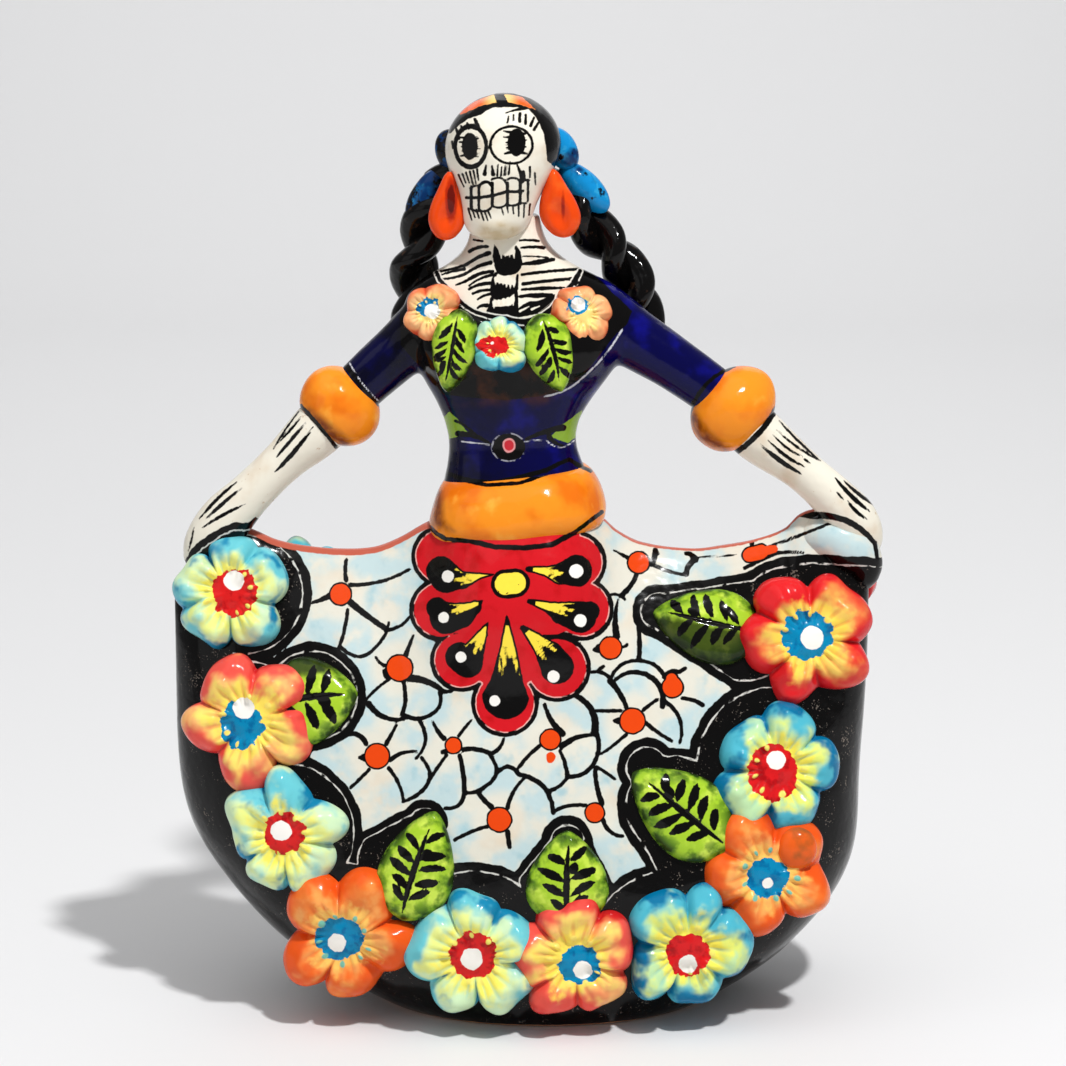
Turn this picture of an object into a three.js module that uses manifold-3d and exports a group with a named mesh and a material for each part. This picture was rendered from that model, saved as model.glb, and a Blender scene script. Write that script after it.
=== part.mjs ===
// A hand-built, glazed clay skeleton dancer holding out a wide flowered skirt.
// Millimetres, +Z up. The figure faces -Y and stands on the flat foot of its skirt at z = 0.

import * as THREE from 'three';
import { mergeVertices } from 'three/addons/utils/BufferGeometryUtils.js';
import Module from 'manifold-3d';

const wasm = await Module();
wasm.setup();

// The skirt: half sizes of its outline, its foot and the height where the sides stand upright
const SKIRT_HALF_WIDTH = 114.5;
const FOOT_HALF_WIDTH = 55;
const UPRIGHT_HEIGHT = 95;
const SIDE_HEIGHT = 157;
const SIDE_TAPER = 3.1;
const FOOT_CENTRE_X = 8;
const TOP_CENTRE_X = -2.5;
const SKIRT_SIDES = 44;
const SKIRT_LEVELS = [0, 0.03, 0.12, 0.27, 0.44, 0.61, 0.77, 0.89, 0.97, 1];
// Height of the rim at each x, and half-depths in front and behind at each share of that height
const RIM = [
  [-117, 150], [-104, 157.5], [-95, 158.5], [-90, 157], [-83.5, 154], [-75, 152], [-62.5, 150.8],
  [-51, 151.4], [-42.5, 154.6], [-34, 159.5], [-24, 163.5], [-4, 166], [19, 165], [24, 161.5], [29, 157],
  [37, 153], [53.5, 150.8], [64, 152], [74.5, 154], [84, 157.6], [89, 162.5], [96, 164.5], [104, 164],
  [111, 160.5], [117, 156],
];
const FRONT_DEPTH = [
  [0, 42], [0.03, 45], [0.16, 50], [0.32, 49], [0.5, 42], [0.68, 31.5], [0.82, 21], [0.92, 11.5],
  [0.97, 6.5], [1, 1],
];
const BACK_DEPTH = [
  [0, 42], [0.03, 44], [0.16, 46], [0.32, 43], [0.5, 36], [0.68, 26.5], [0.82, 17.5], [0.92, 10],
  [0.97, 6], [1, 1],
];

// Where the skirt rises round the waist it is deeper by this much, fading out sideways and downwards
const WAIST_SWELL = { depth: 15.5, x: -4, reach: 25, start: 0.6, full: 0.93 };

// The body from inside the skirt to inside the skull: height, centre x, half-width, front, back
const BODY = [
  [158, -4, 26, 18, 16], [174, -3.8, 24, 17, 15.5], [180, -4.6, 22, 15.5, 14], [187, -5.4, 20.8, 14.5, 13],
  [194, -5.6, 22, 15.2, 13], [201, -5.1, 25.4, 17.2, 13], [208, -4.5, 29.8, 20.3, 13.2],
  [216, -3.7, 34.4, 21.6, 13.5], [224, -3.3, 36.8, 20, 13.5], [231, -3.5, 37, 16.5, 13],
  [236.5, -4.4, 34.4, 13.6, 12.2], [240.5, -5.4, 28.8, 12, 11.6], [244, -6, 22, 11.2, 11.2],
  [248, -6.4, 16.2, 10.7, 10.9], [253, -7, 12.6, 10.4, 10.8], [261, -7.8, 11, 9, 11],
];
const BODY_SIDES = 24;
const BODY_SQUARENESS = 2.2;
// The sash, a padded band laid round the waist, higher on the figure's left side
const SASH = [
  [156.5, -4, 27, 20, 17], [158.5, -4, 30.2, 23.6, 20], [164, -3.9, 30.6, 24.8, 21.3],
  [170, -3.8, 28.2, 23.4, 20], [175, -3.8, 25.6, 20.6, 18], [177.5, -4, 22, 16.5, 14.5],
];
const SASH_TILT = 0.075;

// The skull, from under the chin to the crown: height, centre x, half-width, front, back
const SKULL = [
  [254.3, -11, 4.6, 12.8, -5], [256, -10.8, 8, 15.6, -1.5], [260, -10.3, 10.8, 17.6, 3],
  [265, -9.8, 12.3, 18.4, 8], [270, -9.3, 14.2, 18.8, 13], [275, -8.9, 16.6, 19.2, 16.5],
  [280, -8.5, 18.3, 19.4, 18.8], [285, -8.2, 18.5, 19, 19], [290, -8, 16.8, 17.2, 17.6],
  [294.5, -7.8, 13.4, 13.8, 14.4], [298, -7.7, 8.4, 8.8, 9.2], [299.7, -7.7, 3, 3.2, 3.4],
];
const SKULL_SIDES = 20;
const SKULL_SQUARENESS = 2.1;

// Arms from the shoulder to the hand in the skirt's corner: x, y, z, radius
const LEFT_ARM = [
  [-24, 0, 229, 11], [-33, 0, 224, 10.6], [-41.3, 0, 217.2, 9.4], [-54, -2, 206, 8.5],
  [-61.5, -3, 198.6, 8.4], [-69, -4, 191.1, 8.3], [-79.9, -5, 181.1, 7.1], [-90.4, -6, 171, 7.2],
  [-99.3, -6.5, 161.8, 8.6], [-105.5, -6.5, 154, 8.2], [-109, -6, 148, 6], [-110.5, -5.5, 144.5, 2.5],
];
const RIGHT_ARM = [
  [18, 0, 231, 11], [25.5, 0, 226.5, 10.8], [33.5, 0, 221, 10], [46.4, -2, 213, 8.8],
  [58.9, -2.5, 204.3, 8.5], [66.4, -3, 197.9, 8.3], [74.3, -4, 189.8, 8.2], [89, -5, 178.1, 6.9],
  [99.5, -6, 169, 7.4], [106.5, -6.5, 161.5, 8.4], [110.3, -6, 154, 6.5], [112, -5.5, 149, 2.5],
];
const ARM_SIDES = 11;
// Padded cuffs at the elbows: middle, direction of the arm, half-sizes across, along and in depth
const CUFF_SIDES = [14, 8];
const CUFFS = [
  { at: [-61.5, -3, 198.8], along: [-1, 0, -1], halfSizes: [13.6, 10.6, 12.8] },
  { at: [66.4, -3, 198], along: [1.05, 0, -1], halfSizes: [14.8, 11, 13.4] },
];

// Braids of two strands, from behind the ears down to the back of the shoulders
const BRAID_PATHS = [
  [[-22, 9, 276], [-28.4, 10, 268], [-32.8, 10, 259.5], [-35.8, 11, 250], [-38, 13, 240], [-38.6, 15, 230],
    [-36, 16.5, 220], [-31.5, 17, 211]],
  [[5.5, 9, 276], [14.5, 10, 267], [22, 10, 258], [29, 11, 249], [34, 13, 240], [36.5, 15, 230],
    [35.5, 16.5, 220], [32, 17, 211]],
];
const BRAID_RADIUS = 8.3;
const BRAID_WAIST = 0.62;
const BRAID_ROUNDNESS = 1.3;
const BRAID_PITCH = 33;
const BRAID_END_SIZES = { top: 0.62, bottom: 0.45, growth: 3 };
const BRAID_SIDES = 10;
const BRAID_RINGS = 14;

// Ribbon loops beside the braids: middle, direction, half-sizes across, along and in depth
const RIBBON_SIDES = [8, 6];
const RIBBONS = [
  { at: [-24.5, 7, 280.5], along: [-0.35, 0, 0.94], halfSizes: [5.6, 7.5, 5] },
  { at: [-33.2, 8, 265.5], along: [-0.5, 0, -0.87], halfSizes: [5.4, 10.5, 5] },
  { at: [10.3, 7, 281.5], along: [0.54, 0, -0.84], halfSizes: [5, 7.6, 5] },
  { at: [18, 8, 268.8], along: [0.7, 0, -0.71], halfSizes: [5.2, 10.6, 5] },
];

// Ear drops: middle, half-width, height, half-depth and lean towards +X at the top
const EAR_DROPS = [
  { at: [-26, -8.5, 264.6], width: 6, height: 22, depth: 4.2, lean: 0.06 },
  { at: [9.6, -6.5, 265], width: 6.9, height: 22.5, depth: 4.6, lean: -0.16 },
];
const EAR_DROP_SIDES = 8;
// Width of an ear drop at each share of its height
const EAR_DROP_BULGE = [
  [0, 0.14], [0.06, 0.54], [0.18, 0.86], [0.34, 1], [0.55, 0.86], [0.78, 0.52], [0.94, 0.28], [1, 0.12],
];

// Flowers pressed on the front of the skirt: x, z, radius and turn of the first petal in degrees
const FRONT_FLOWERS = [
  [-94.3, 139.1, 19.6, 80], [-90.4, 101.3, 21.2, 64], [-77.6, 67.1, 20.2, 98], [-57.9, 34.3, 21, 80],
  [-17.9, 31.7, 20.8, 84], [16.2, 28.5, 20, 100], [50.5, 31.2, 20.8, 76], [75.2, 52.2, 21, 62],
  [78.5, 87.7, 20.8, 92], [89.4, 125.7, 22, 72],
];
// Plainer flowers on the back
const BACK_FLOWERS = [[-76, 138.5, 18, 90], [97, 137, 19.5, 80], [4, 40, 20, 90]];
const PETALS = 5;
const FLOWER_SIZES = { height: 8.4, root: 7, sides: 20 };
const FLOWER_RINGS = [0.28, 0.7, 1];
// A flower faces half-way between the skirt's own slope and straight outward
const FLOWER_FACING = 0.5;
// Each petal is a circle: how far its middle is from the flower's, and its radius, in flower radii
const PETAL_MIDDLE = 0.55;
const PETAL_LOBE = 0.45;
// Rise of a petal from the flower's middle to its rim, and how much lower the valleys are
const PETAL_PUFF = [[0, 0.78], [0.25, 0.78], [0.62, 1], [0.86, 0.8], [1, 0.25]];
const VALLEY_DROP = 0.3;

// Leaves on the skirt: x and z of the middle, length, width, turn of the tip in degrees
const FRONT_LEAVES = [
  [-69, 107, 29, 24, 14], [-35.5, 56.5, 37, 24, 74], [12.3, 53, 31, 26, 90], [47.5, 75.5, 36, 25, 142],
  [54.5, 131.5, 36, 22, 170],
];
const BACK_LEAVES = [
  [-49, 132, 27, 17, 20], [-24, 46, 32, 20, 20], [32, 46, 32, 20, 160], [68, 133, 30, 20, 175],
];
const LEAF_HEIGHT = 4.6;
const LEAF_ROOT = 6;
const LEAF_SIDES = 10;
const LEAF_RINGS = [0.62, 1];
const LEAF_TAPER = 0.32;
const LEAF_EDGE_DROP = 0.75;

// Flowers and leaves on the bust: middle, radius or sizes, direction they face
const BUST_FLOWERS = [
  { at: [-31.5, -13.5, 232.5], radius: 9.6, turn: 60, face: [-0.25, -0.95, 0.2] },
  { at: [15.8, -13.5, 232.8], radius: 10, turn: 100, face: [0.2, -0.95, 0.25] },
  { at: [-10.2, -18.5, 222], radius: 9, turn: 90, face: [0, -0.95, 0.3] },
];
const BUST_FLOWER_SIZES = { height: 4.4, root: 5, sides: 15 };
const BUST_LEAVES = [
  { at: [-24, -18.5, 219.5], length: 27, width: 14.5, turn: 262, face: [-0.2, -0.97, 0.12] },
  { at: [5, -18.5, 221.2], length: 25, width: 15.5, turn: 285, face: [0.15, -0.97, 0.15] },
];

// A smooth function through [input, value] pairs, level beyond both ends.
function through(points) {
  const last = points.length - 1;
  const slope = (k) => {
    const [x0, y0] = points[Math.max(k - 1, 0)];
    const [x1, y1] = points[Math.min(k + 1, last)];
    return (y1 - y0) / (x1 - x0);
  };
  return (t) => {
    if (t <= points[0][0]) return points[0][1];
    if (t >= points[last][0]) return points[last][1];
    let i = 0;
    while (t > points[i + 1][0]) i += 1;
    const [x0, y0] = points[i];
    const [x1, y1] = points[i + 1];
    const w = x1 - x0;
    const u = (t - x0) / w;
    const rise = 3 * u * u - 2 * u * u * u;
    return y0 + (y1 - y0) * rise
      + slope(i) * w * (u * u * u - 2 * u * u + u)
      + slope(i + 1) * w * (u * u * u - u * u);
  };
}

// A closed solid from a list of vertices and triangles, outward faces.
function solid(points, triangles) {
  const geometry = new THREE.BufferGeometry();
  const numbers = points.flatMap((p) => [p.x, p.y, p.z]);
  geometry.setAttribute('position', new THREE.Float32BufferAttribute(numbers, 3));
  geometry.setIndex(triangles.flat());
  return fromGeometry(geometry);
}

function fromGeometry(source) {
  const geometry = source.clone();
  geometry.deleteAttribute('normal');
  geometry.deleteAttribute('uv');
  const merged = mergeVertices(geometry, 1e-4);
  const manifold = new wasm.Manifold(new wasm.Mesh({
    numProp: 3,
    vertProperties: new Float32Array(merged.attributes.position.array),
    triVerts: new Uint32Array(merged.index.array),
  }));
  if (manifold.volume() <= 0) throw new Error('a piece is inside out');
  return manifold;
}

// Skin between rings of equal length; each ring runs anticlockwise seen from the end.
// The start closes with a fan, and the end with a fan or with a seam down its middle.
function loft(rings, seamEnd = false) {
  const n = rings[0].length;
  const points = rings.flat();
  const triangles = [];
  for (let r = 0; r + 1 < rings.length; r += 1) {
    for (let k = 0; k < n; k += 1) {
      const a = r * n + k;
      const b = r * n + ((k + 1) % n);
      triangles.push([a, b, b + n], [a, b + n, a + n]);
    }
  }
  const middle = (ring) => ring.reduce((sum, p) => sum.add(p), new THREE.Vector3()).divideScalar(n);
  const fan = (offset, centre, flip) => {
    points.push(centre);
    for (let k = 0; k < n; k += 1) {
      const edge = [offset + k, offset + ((k + 1) % n)];
      triangles.push([points.length - 1, ...(flip ? edge.reverse() : edge)]);
    }
  };
  fan(0, middle(rings[0]), true);
  const top = (rings.length - 1) * n;
  if (!seamEnd) {
    fan(top, middle(rings.at(-1)), false);
  } else {
    for (let k = 0; k < n / 2; k += 1) {
      const [a, b, c, d] = [top + k, top + k + 1, top + n - k - 1, top + ((n - k) % n)];
      if (b !== c) triangles.push([a, b, c]);
      if (a !== d) triangles.push([a, c, d]);
    }
  }
  return solid(points, triangles);
}

// A point on a rounded outline between an ellipse and a box, as an angle goes round it.
function rounded(angle, exponent) {
  const bend = (value) => Math.sign(value) * Math.abs(value) ** (2 / exponent);
  return [bend(Math.cos(angle)), bend(Math.sin(angle))];
}

const rimHeight = through(RIM);
const frontDepth = through(FRONT_DEPTH);
const backDepth = through(BACK_DEPTH);

// Half-width and centre of the skirt where its side stands at a share of the rim's height.
function skirtHalfWidth(share) {
  const climb = Math.min((SIDE_HEIGHT * share) / UPRIGHT_HEIGHT, 1);
  return FOOT_HALF_WIDTH + (SKIRT_HALF_WIDTH - FOOT_HALF_WIDTH) * (1 - (1 - climb) ** SIDE_TAPER);
}

function skirtCentre(share) {
  const climb = THREE.MathUtils.smoothstep(share, 0, 0.68);
  return THREE.MathUtils.lerp(FOOT_CENTRE_X, TOP_CENTRE_X, climb);
}

const skirtSquareness = (share) => 2.15 + 0.55 * share;

function waistSwell(x, share) {
  const rise = THREE.MathUtils.smoothstep(share, WAIST_SWELL.start, WAIST_SWELL.full);
  return WAIST_SWELL.depth * rise * Math.exp(-(((x - WAIST_SWELL.x) / WAIST_SWELL.reach) ** 4));
}

function skirt() {
  const rings = SKIRT_LEVELS.map((share) => Array.from({ length: SKIRT_SIDES }, (_, k) => {
    const [across, inward] = rounded((2 * Math.PI * k) / SKIRT_SIDES, skirtSquareness(share));
    const x = skirtCentre(share) + skirtHalfWidth(share) * across;
    const depth = inward < 0 ? frontDepth(share) : backDepth(share);
    const swell = Math.sign(Math.round(inward * 1e6)) * waistSwell(x, share);
    return new THREE.Vector3(x, depth * inward + swell, rimHeight(x) * share);
  }));
  return loft(rings, true);
}

// The skirt's surface at x and z; side is -1 for the front and 1 for the back.
function skirtPoint(x, z, side) {
  const share = Math.min(z / rimHeight(x), 1);
  const power = skirtSquareness(share);
  const across = Math.min(Math.abs(x - skirtCentre(share)) / skirtHalfWidth(share), 0.999);
  const depth = (side < 0 ? frontDepth(share) : backDepth(share)) * (1 - across ** power) ** (1 / power);
  return new THREE.Vector3(x, side * (depth + waistSwell(x, share)), z);
}

// Outward direction of the skirt at x and z, turned part of the way to face squarely outward.
function skirtFacing(x, z, side, share) {
  const step = 0.5;
  const along = skirtPoint(x + step, z, side).sub(skirtPoint(x - step, z, side));
  const upward = skirtPoint(x, z + step, side).sub(skirtPoint(x, z - step, side));
  const normal = along.cross(upward).normalize();
  if (normal.y * side < 0) normal.negate();
  return normal.lerp(new THREE.Vector3(0, side, 0.12), 1 - share).normalize();
}

// Rings of an upright body part from rows of height, centre x, half-width, front and back.
function stack(rows, sides, squareness, tilt = 0) {
  return loft(rows.map(([z, centre, half, front, back]) => Array.from({ length: sides }, (_, k) => {
    const [across, inward] = rounded((2 * Math.PI * k) / sides, squareness);
    const y = (back - front) / 2 + ((front + back) / 2) * inward;
    return new THREE.Vector3(centre + half * across, y, z + tilt * half * across);
  })));
}

// A ball stretched to three half-sizes, its long axis turned to a direction.
function ball(at, along, halfSizes, sides, rings) {
  const geometry = new THREE.SphereGeometry(1, sides, rings);
  geometry.scale(...halfSizes);
  const turn = new THREE.Quaternion().setFromUnitVectors(
    new THREE.Vector3(0, 1, 0),
    new THREE.Vector3(...along).normalize(),
  );
  geometry.applyQuaternion(turn);
  geometry.translate(...at);
  return fromGeometry(geometry);
}

// Two directions across a path, the first in the plane of the figure and the second near +Y.
function acrossPath(direction) {
  const side = new THREE.Vector3().crossVectors(new THREE.Vector3(0, 1, 0), direction).normalize();
  return [side, new THREE.Vector3().crossVectors(direction, side).normalize()];
}

// A round limb along a row of x, y, z, radius.
function limb(rows, sides) {
  const directionAt = (i) => {
    const [a, b] = [rows[Math.max(i - 1, 0)], rows[Math.min(i + 1, rows.length - 1)]];
    return new THREE.Vector3(b[0] - a[0], b[1] - a[1], b[2] - a[2]).normalize();
  };
  return loft(rows.map(([x, y, z, radius], i) => {
    const [side, depth] = acrossPath(directionAt(i));
    return Array.from({ length: sides }, (_, k) => {
      const angle = (2 * Math.PI * k) / sides;
      return new THREE.Vector3(x, y, z)
        .addScaledVector(side, radius * Math.cos(angle))
        .addScaledVector(depth, radius * Math.sin(angle));
    });
  }));
}

// Two strands twisted round each other, thinner at both ends.
function braid(path) {
  const curve = new THREE.CatmullRomCurve3(path.map((p) => new THREE.Vector3(...p)));
  const length = curve.getLength();
  return loft(Array.from({ length: BRAID_RINGS }, (_, r) => {
    const t = r / (BRAID_RINGS - 1);
    const [side, depth] = acrossPath(curve.getTangentAt(t));
    const { top, bottom, growth } = BRAID_END_SIZES;
    const size = BRAID_RADIUS * Math.min(1, top + growth * t, bottom + growth * (1 - t));
    const twist = (2 * Math.PI * t * length) / BRAID_PITCH;
    return Array.from({ length: BRAID_SIDES }, (_, k) => {
      const angle = (2 * Math.PI * k) / BRAID_SIDES;
      const lobe = Math.abs(Math.cos(angle - twist)) ** BRAID_ROUNDNESS;
      const reach = size * (BRAID_WAIST + (1 - BRAID_WAIST) * lobe);
      return curve.getPointAt(t)
        .addScaledVector(side, reach * Math.cos(angle))
        .addScaledVector(depth, reach * Math.sin(angle));
    });
  }));
}

// A pressed-on ornament: rings from its middle to its rim, raised by a height, with a sunk root.
// outline(angle) gives its reach, and height(angle, share) its rise above the surface.
function ornament(at, facing, turn, outline, height, root, { sides, shares }) {
  const out = new THREE.Vector3(...facing).normalize();
  const right = new THREE.Vector3(0, 0, 1).cross(out).normalize();
  const up = new THREE.Vector3().crossVectors(out, right);
  const ring = (share, lift) => Array.from({ length: sides }, (_, k) => {
    const angle = (2 * Math.PI * k) / sides;
    const [u, v] = outline(angle);
    const cos = Math.cos(turn);
    const sin = Math.sin(turn);
    return new THREE.Vector3(...at)
      .addScaledVector(right, share * (u * cos - v * sin))
      .addScaledVector(up, share * (u * sin + v * cos))
      .addScaledVector(out, lift(angle, share));
  });
  const rings = [ring(0.9, () => -root), ...[...shares].reverse().map((share) => ring(share, height))];
  return loft(rings);
}

// Five round petals with valleys between them, as reach at an angle from the first petal's tip.
function petalReach(angle, radius) {
  const sector = (2 * Math.PI) / PETALS;
  const fromTip = angle - sector * Math.round(angle / sector);
  const middle = PETAL_MIDDLE * radius;
  const lobe = PETAL_LOBE * radius;
  return middle * Math.cos(fromTip) + Math.sqrt(lobe ** 2 - (middle * Math.sin(fromTip)) ** 2);
}

// Petals puff up between a low middle and the rim, and dip along the valleys.
function petalRise(angle, share, height) {
  const valley = 0.5 - 0.5 * Math.cos(PETALS * angle);
  const puff = through(PETAL_PUFF)(share);
  return height * puff * (1 - VALLEY_DROP * valley * Math.min(share / PETAL_MIDDLE, 1));
}

function flower(at, facing, radius, turnDegrees, { height, root, sides }) {
  const outline = (angle) => {
    const reach = petalReach(angle, radius);
    return [reach * Math.cos(angle), reach * Math.sin(angle)];
  };
  const rise = (angle, share) => petalRise(angle, share, height);
  const turn = THREE.MathUtils.degToRad(turnDegrees);
  return ornament(at, facing, turn, outline, rise, root, { sides, shares: FLOWER_RINGS });
}

// A domed leaf with a blunt foot and a pointed tip towards its turn.
function leaf(at, facing, length, width, turnDegrees) {
  const outline = (angle) => {
    const along = Math.cos(angle);
    const taper = 1 - LEAF_TAPER * along;
    return [(length / 2) * along, (width / 2) * Math.sin(angle) * Math.abs(Math.sin(angle)) ** 0.25 * taper];
  };
  const rise = (angle, share) => LEAF_HEIGHT * (1 - LEAF_EDGE_DROP * share ** 3);
  const turn = THREE.MathUtils.degToRad(turnDegrees);
  return ornament(at, facing, turn, outline, rise, LEAF_ROOT, { sides: LEAF_SIDES, shares: LEAF_RINGS });
}

// A drop, narrow above and round below, slightly flattened.
function earDrop({ at, width, height, depth, lean }) {
  return loft(EAR_DROP_BULGE.map(([share, bulge]) => Array.from({ length: EAR_DROP_SIDES }, (_, k) => {
    const angle = (2 * Math.PI * k) / EAR_DROP_SIDES;
    const z = height * (share - 0.5);
    return new THREE.Vector3(
      at[0] + lean * z + width * bulge * Math.cos(angle),
      at[1] + depth * bulge ** 0.6 * Math.sin(angle),
      at[2] + z,
    );
  })));
}

function skirtOrnaments() {
  const pieces = [];
  for (const [side, flowers, leaves] of [[-1, FRONT_FLOWERS, FRONT_LEAVES], [1, BACK_FLOWERS, BACK_LEAVES]]) {
    for (const [x, z, radius, turn] of flowers) {
      const facing = skirtFacing(x, z, side, FLOWER_FACING);
      pieces.push(flower(skirtPoint(x, z, side), facing, radius, turn, FLOWER_SIZES));
    }
    for (const [x, z, length, width, turn] of leaves) {
      const facing = skirtFacing(x, z, side, 1);
      pieces.push(leaf(skirtPoint(x, z, side), facing, length, width, side < 0 ? turn : 180 - turn));
    }
  }
  return pieces;
}

function bustOrnaments() {
  return [
    ...BUST_FLOWERS.map(({ at, radius, turn, face }) => flower(at, face, radius, turn, BUST_FLOWER_SIZES)),
    ...BUST_LEAVES.map(({ at, length, width, turn, face }) => leaf(at, face, length, width, turn)),
  ];
}

function figure() {
  const pieces = [
    skirt(),
    stack(BODY, BODY_SIDES, BODY_SQUARENESS),
    stack(SASH, BODY_SIDES, BODY_SQUARENESS, SASH_TILT),
    stack(SKULL, SKULL_SIDES, SKULL_SQUARENESS),
    limb(LEFT_ARM, ARM_SIDES),
    limb(RIGHT_ARM, ARM_SIDES),
    ...CUFFS.map(({ at, along, halfSizes }) => ball(at, along, halfSizes, ...CUFF_SIDES)),
    ...BRAID_PATHS.map(braid),
    ...RIBBONS.map(({ at, along, halfSizes }) => ball(at, along, halfSizes, ...RIBBON_SIDES)),
    ...EAR_DROPS.map(earDrop),
    ...skirtOrnaments(),
    ...bustOrnaments(),
  ];
  return pieces.reduce((whole, piece) => whole.add(piece));
}

function meshOf(manifold) {
  const { vertProperties, triVerts } = manifold.getMesh();
  const geometry = new THREE.BufferGeometry();
  geometry.setAttribute('position', new THREE.BufferAttribute(new Float32Array(vertProperties), 3));
  geometry.setIndex(new THREE.BufferAttribute(new Uint32Array(triVerts), 1));
  geometry.computeVertexNormals();
  return geometry;
}

// One fired piece; its ground glaze is a warm white.
const glazedClay = new THREE.MeshStandardMaterial({ color: 0xece4d2, roughness: 0.15, metalness: 0 });
const doll = new THREE.Mesh(meshOf(figure()), glazedClay);
doll.name = 'catrina_figure';

const group = new THREE.Group();
group.add(doll);

export default group;
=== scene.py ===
# %% [markdown]
# A skeleton dancer in glazed clay, about 30 cm tall, who holds out a wide flowered skirt.
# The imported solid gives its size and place. This lesson dresses it: each part that a maker would
# roll, press or paint by itself becomes a finely modelled piece over that solid, and the painting
# is worked out as distances on the clay, because a brush line is a shape with a soft edge.

# %% Load the frame
import math
import bmesh
import bpy
import numpy as np
from mathutils import Matrix, Vector


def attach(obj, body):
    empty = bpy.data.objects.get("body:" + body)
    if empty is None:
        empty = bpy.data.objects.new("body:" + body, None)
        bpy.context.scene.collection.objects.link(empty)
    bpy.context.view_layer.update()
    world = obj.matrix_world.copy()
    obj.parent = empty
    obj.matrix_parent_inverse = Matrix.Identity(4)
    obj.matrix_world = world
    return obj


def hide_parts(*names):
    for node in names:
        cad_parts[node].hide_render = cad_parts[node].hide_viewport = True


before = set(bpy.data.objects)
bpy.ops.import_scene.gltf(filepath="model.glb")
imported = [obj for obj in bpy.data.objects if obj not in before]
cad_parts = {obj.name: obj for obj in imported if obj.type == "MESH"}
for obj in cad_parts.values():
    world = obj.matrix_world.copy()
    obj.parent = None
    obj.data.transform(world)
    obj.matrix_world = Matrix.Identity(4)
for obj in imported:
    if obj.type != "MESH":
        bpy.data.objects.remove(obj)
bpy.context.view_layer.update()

MM = 0.001
FAR = 99.0
FIGURE = "catrina_figure"

def new_object(name, data):
    """An object in the scene that carries a mesh, a curve, a lamp or the camera."""
    item = bpy.data.objects.new(name, data)
    bpy.context.scene.collection.objects.link(item)
    return item

# %% [markdown]
# The photograph was taken from a little above, with a long lens. The camera stands 1.1 m from the
# middle of the doll, and its lens takes in a picture 350.6 mm wide there. The same view gives a
# drawing plane: paint that was measured on the picture is laid on the clay through it, once, and
# it is stored on the mesh, so it stays put from every side.

# %% Camera and drawing plane
VIEW_CENTRE = np.array([1.3, 0.0, 156.0])
VIEW_DISTANCE = 1100.0
VIEW_RISE = math.radians(12)
PICTURE_WIDTH = 350.6
SENSOR_WIDTH = 36.0

def make_camera():
    lens = bpy.data.cameras.new("camera")
    lens.sensor_fit = "HORIZONTAL"
    lens.sensor_width = SENSOR_WIDTH
    lens.lens = SENSOR_WIDTH * VIEW_DISTANCE / PICTURE_WIDTH
    camera = new_object("camera", lens)
    back = np.array([0, -math.cos(VIEW_RISE), math.sin(VIEW_RISE)])
    camera.location = (VIEW_CENTRE + VIEW_DISTANCE * back) * MM
    camera.rotation_euler = (math.pi / 2 - VIEW_RISE, 0, 0)
    bpy.context.scene.camera = camera
    return camera

def drawing(points):
    """Right and up on the drawing plane, in mm, for points of the doll in mm."""
    offset = points - VIEW_CENTRE
    inward = offset[:, 1] * math.cos(VIEW_RISE) - offset[:, 2] * math.sin(VIEW_RISE)
    upward = offset[:, 1] * math.sin(VIEW_RISE) + offset[:, 2] * math.cos(VIEW_RISE)
    scale = VIEW_DISTANCE / (VIEW_DISTANCE + inward)
    return offset[:, 0] * scale, upward * scale

camera = make_camera()
print("camera at", [round(value, 3) for value in camera.location], "lens", round(camera.data.lens, 1))

# %% [markdown]
# Glaze is read by what it mirrors. One small, strong lamp at the upper right gives the pinpoint
# glints of sunlight, wide soft panels fill the rest, and one more keeps the backdrop pale.
# The floor runs up behind the doll in one curve, so no edge shows.

# %% Lamps, room and floor
FLOOR_COLOUR = (0.78, 0.78, 0.785, 1)

def lamp(name, place, target, power, size):
    """A square, soft lamp at a place in metres, turned to a target."""
    light = bpy.data.lights.new(name, "AREA")
    light.energy = power
    light.size = size
    holder = new_object(name, light)
    holder.location = place
    holder.rotation_euler = (Vector(target) - Vector(place)).to_track_quat("-Z", "Y").to_euler()

def make_room():
    world = bpy.data.worlds.new("room")
    bpy.context.scene.world = world
    world.use_nodes = True
    background = world.node_tree.nodes["Background"]
    background.inputs["Color"].default_value = (0.93, 0.93, 0.94, 1)
    background.inputs["Strength"].default_value = 0.3

def make_floor():
    """A floor 3 m wide that curves up into a backdrop behind the doll."""
    half_width = 1.5
    bend = 0.5
    flat_to = 1.5
    profile = [(-1.6, 0), (flat_to, 0)]
    for step in range(1, 13):
        angle = math.pi / 2 * step / 12
        profile.append((flat_to + bend * math.sin(angle), bend * (1 - math.cos(angle))))
    profile.append((flat_to + bend, 2.2))
    points = [(x, y, z) for y, z in profile for x in (-half_width, half_width)]
    faces = [(2 * k, 2 * k + 1, 2 * k + 3, 2 * k + 2) for k in range(len(profile) - 1)]
    mesh = bpy.data.meshes.new("floor")
    mesh.from_pydata(points, [], faces)
    mesh.polygons.foreach_set("use_smooth", [True] * len(faces))
    floor = new_object("floor", mesh)
    paper = bpy.data.materials.new("paper")
    paper.use_nodes = True
    paper.node_tree.nodes["Principled BSDF"].inputs["Base Color"].default_value = FLOOR_COLOUR
    paper.node_tree.nodes["Principled BSDF"].inputs["Roughness"].default_value = 0.9
    mesh.materials.append(paper)

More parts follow.
